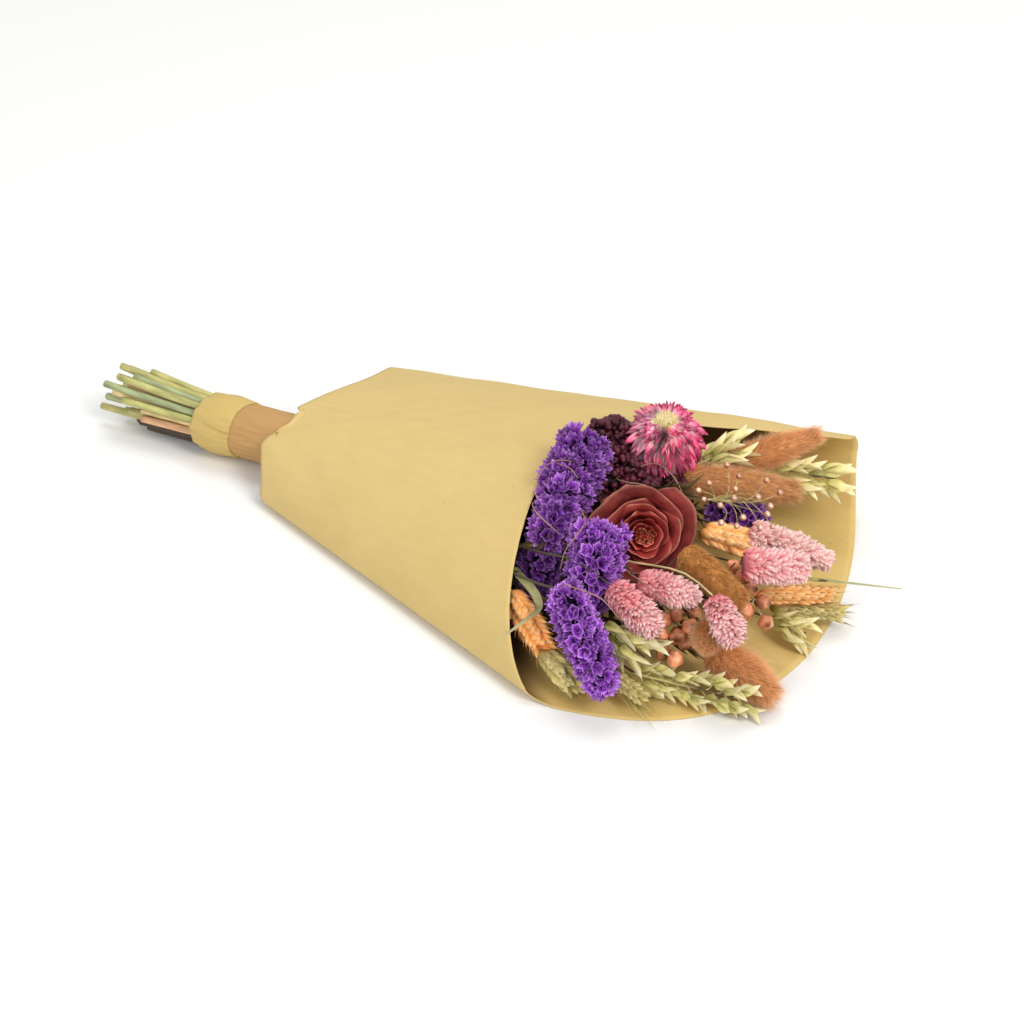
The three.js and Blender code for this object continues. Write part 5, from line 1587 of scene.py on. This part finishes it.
blade = Pile()
*_, room = add_trunk(blade, "grass_blade", 0.2, 0.0, 0.7)
knots = [room.foot - room.axis * 2, room.foot + room.axis * 8, ROOMS["grass_blade"][1]]
ribbon(blade, knots, [1.8, 2.4, 0.9], UP, 0.4)
blade.piece("long_blade", [STEM, GRASS], ["grass_blade"], "grass")

LEAF_BEND = [(186, -68, 32.5), (188.6, -70.6, 32), (189.4, -72.4, 31.6), (189.2, -75, 31.2), (188, -100, 29)]
bent = Pile()
line, thick, room = add_trunk(bent, "grass_leaf", 0.1, 0.0, 0.9)
knots = [room.foot - room.axis, ROOMS["grass_leaf"][0], *LEAF_BEND]
ribbon(bent, knots, [2.0, 3.6, 3.9, 3.2, 2.4, 2.0, 0.4], OPEN_SIDE, 0.5)
add_dry_leaves(bent, line, thick, 20, 301, 2)
bent.piece("bent_leaf", [STEM, GRASS, LEAF_AND_SHADE], ["grass_leaf"], "grass")

# %% [markdown]
# ## Floor, light and camera
# The bouquet lies on a pale, plain floor. The main light is a large soft lamp high up beyond the mouth.
# A second one hangs above and behind, a weaker one fills from the front, and a bright white world keeps
# the shadows open, as in a studio with white walls. The camera looks down into the mouth from in front.

# %% Floor
FLOOR_HALF = 4.0
FLOOR_Z = -0.0002
corners = [(x * FLOOR_HALF, y * FLOOR_HALF, FLOOR_Z) for x, y in ((-1, -1), (1, -1), (1, 1), (-1, 1))]
floor_mesh = bpy.data.meshes.new("studio_floor")
floor_mesh.from_pydata(corners, [], [(0, 1, 2, 3)])
floor = bpy.data.objects.new("studio_floor", floor_mesh)
bpy.context.scene.collection.objects.link(floor)
white, tree, shader = new_finish("studio white")
feed(tree, shader, {"Base Color": (0.90, 0.90, 0.89), "Roughness": 0.9})
floor_mesh.materials.append(white)
print("the floor is", 2 * FLOOR_HALF, "m wide")

# %% Lamps and world
TARGET = Vector((0.027, -0.014, 0.03))


def softbox(name, place, size, power, warmth=(1.0, 1.0, 1.0)):
    light = bpy.data.lights.new(name, "AREA")
    light.shape = "DISK"
    light.size = size
    light.energy = power
    light.color = warmth
    lamp = bpy.data.objects.new(name, light)
    lamp.location = place
    lamp.rotation_euler = (TARGET - Vector(place)).to_track_quat("-Z", "Y").to_euler()
    bpy.context.scene.collection.objects.link(lamp)


softbox("key_light", (2.1, -0.4, 2.0), 1.2, 38.0, (1.0, 0.99, 0.97))
softbox("front_light", (0.7, -2.1, 1.5), 1.6, 17.0)
softbox("top_light", (-0.6, 1.0, 2.6), 1.6, 25.0)
world = bpy.data.worlds.new("studio")
world.use_nodes = True
feed(world.node_tree, world.node_tree.nodes["Background"], {"Color": (1, 1, 1), "Strength": 0.55})
bpy.context.scene.world = world
bpy.context.scene.view_settings.view_transform = "Standard"
print(len(bpy.data.lights), "lamps and a bright world")

# %% Camera
AZIMUTH = math.radians(39.2)
ELEVATION = math.radians(31.8)
DISTANCE = 0.95
LENS = 70.0
level = math.cos(ELEVATION)
back = Vector((math.sin(AZIMUTH) * level, -math.cos(AZIMUTH) * level, math.sin(ELEVATION)))
camera_data = bpy.data.cameras.new("camera")
camera_data.lens = LENS
camera = bpy.data.objects.new("camera", camera_data)
camera.location = TARGET + back * DISTANCE
camera.rotation_euler = back.to_track_quat("Z", "Y").to_euler()
bpy.context.scene.collection.objects.link(camera)
bpy.context.scene.camera = camera
print("camera", DISTANCE, "m from the flowers with a", LENS, "mm lens")
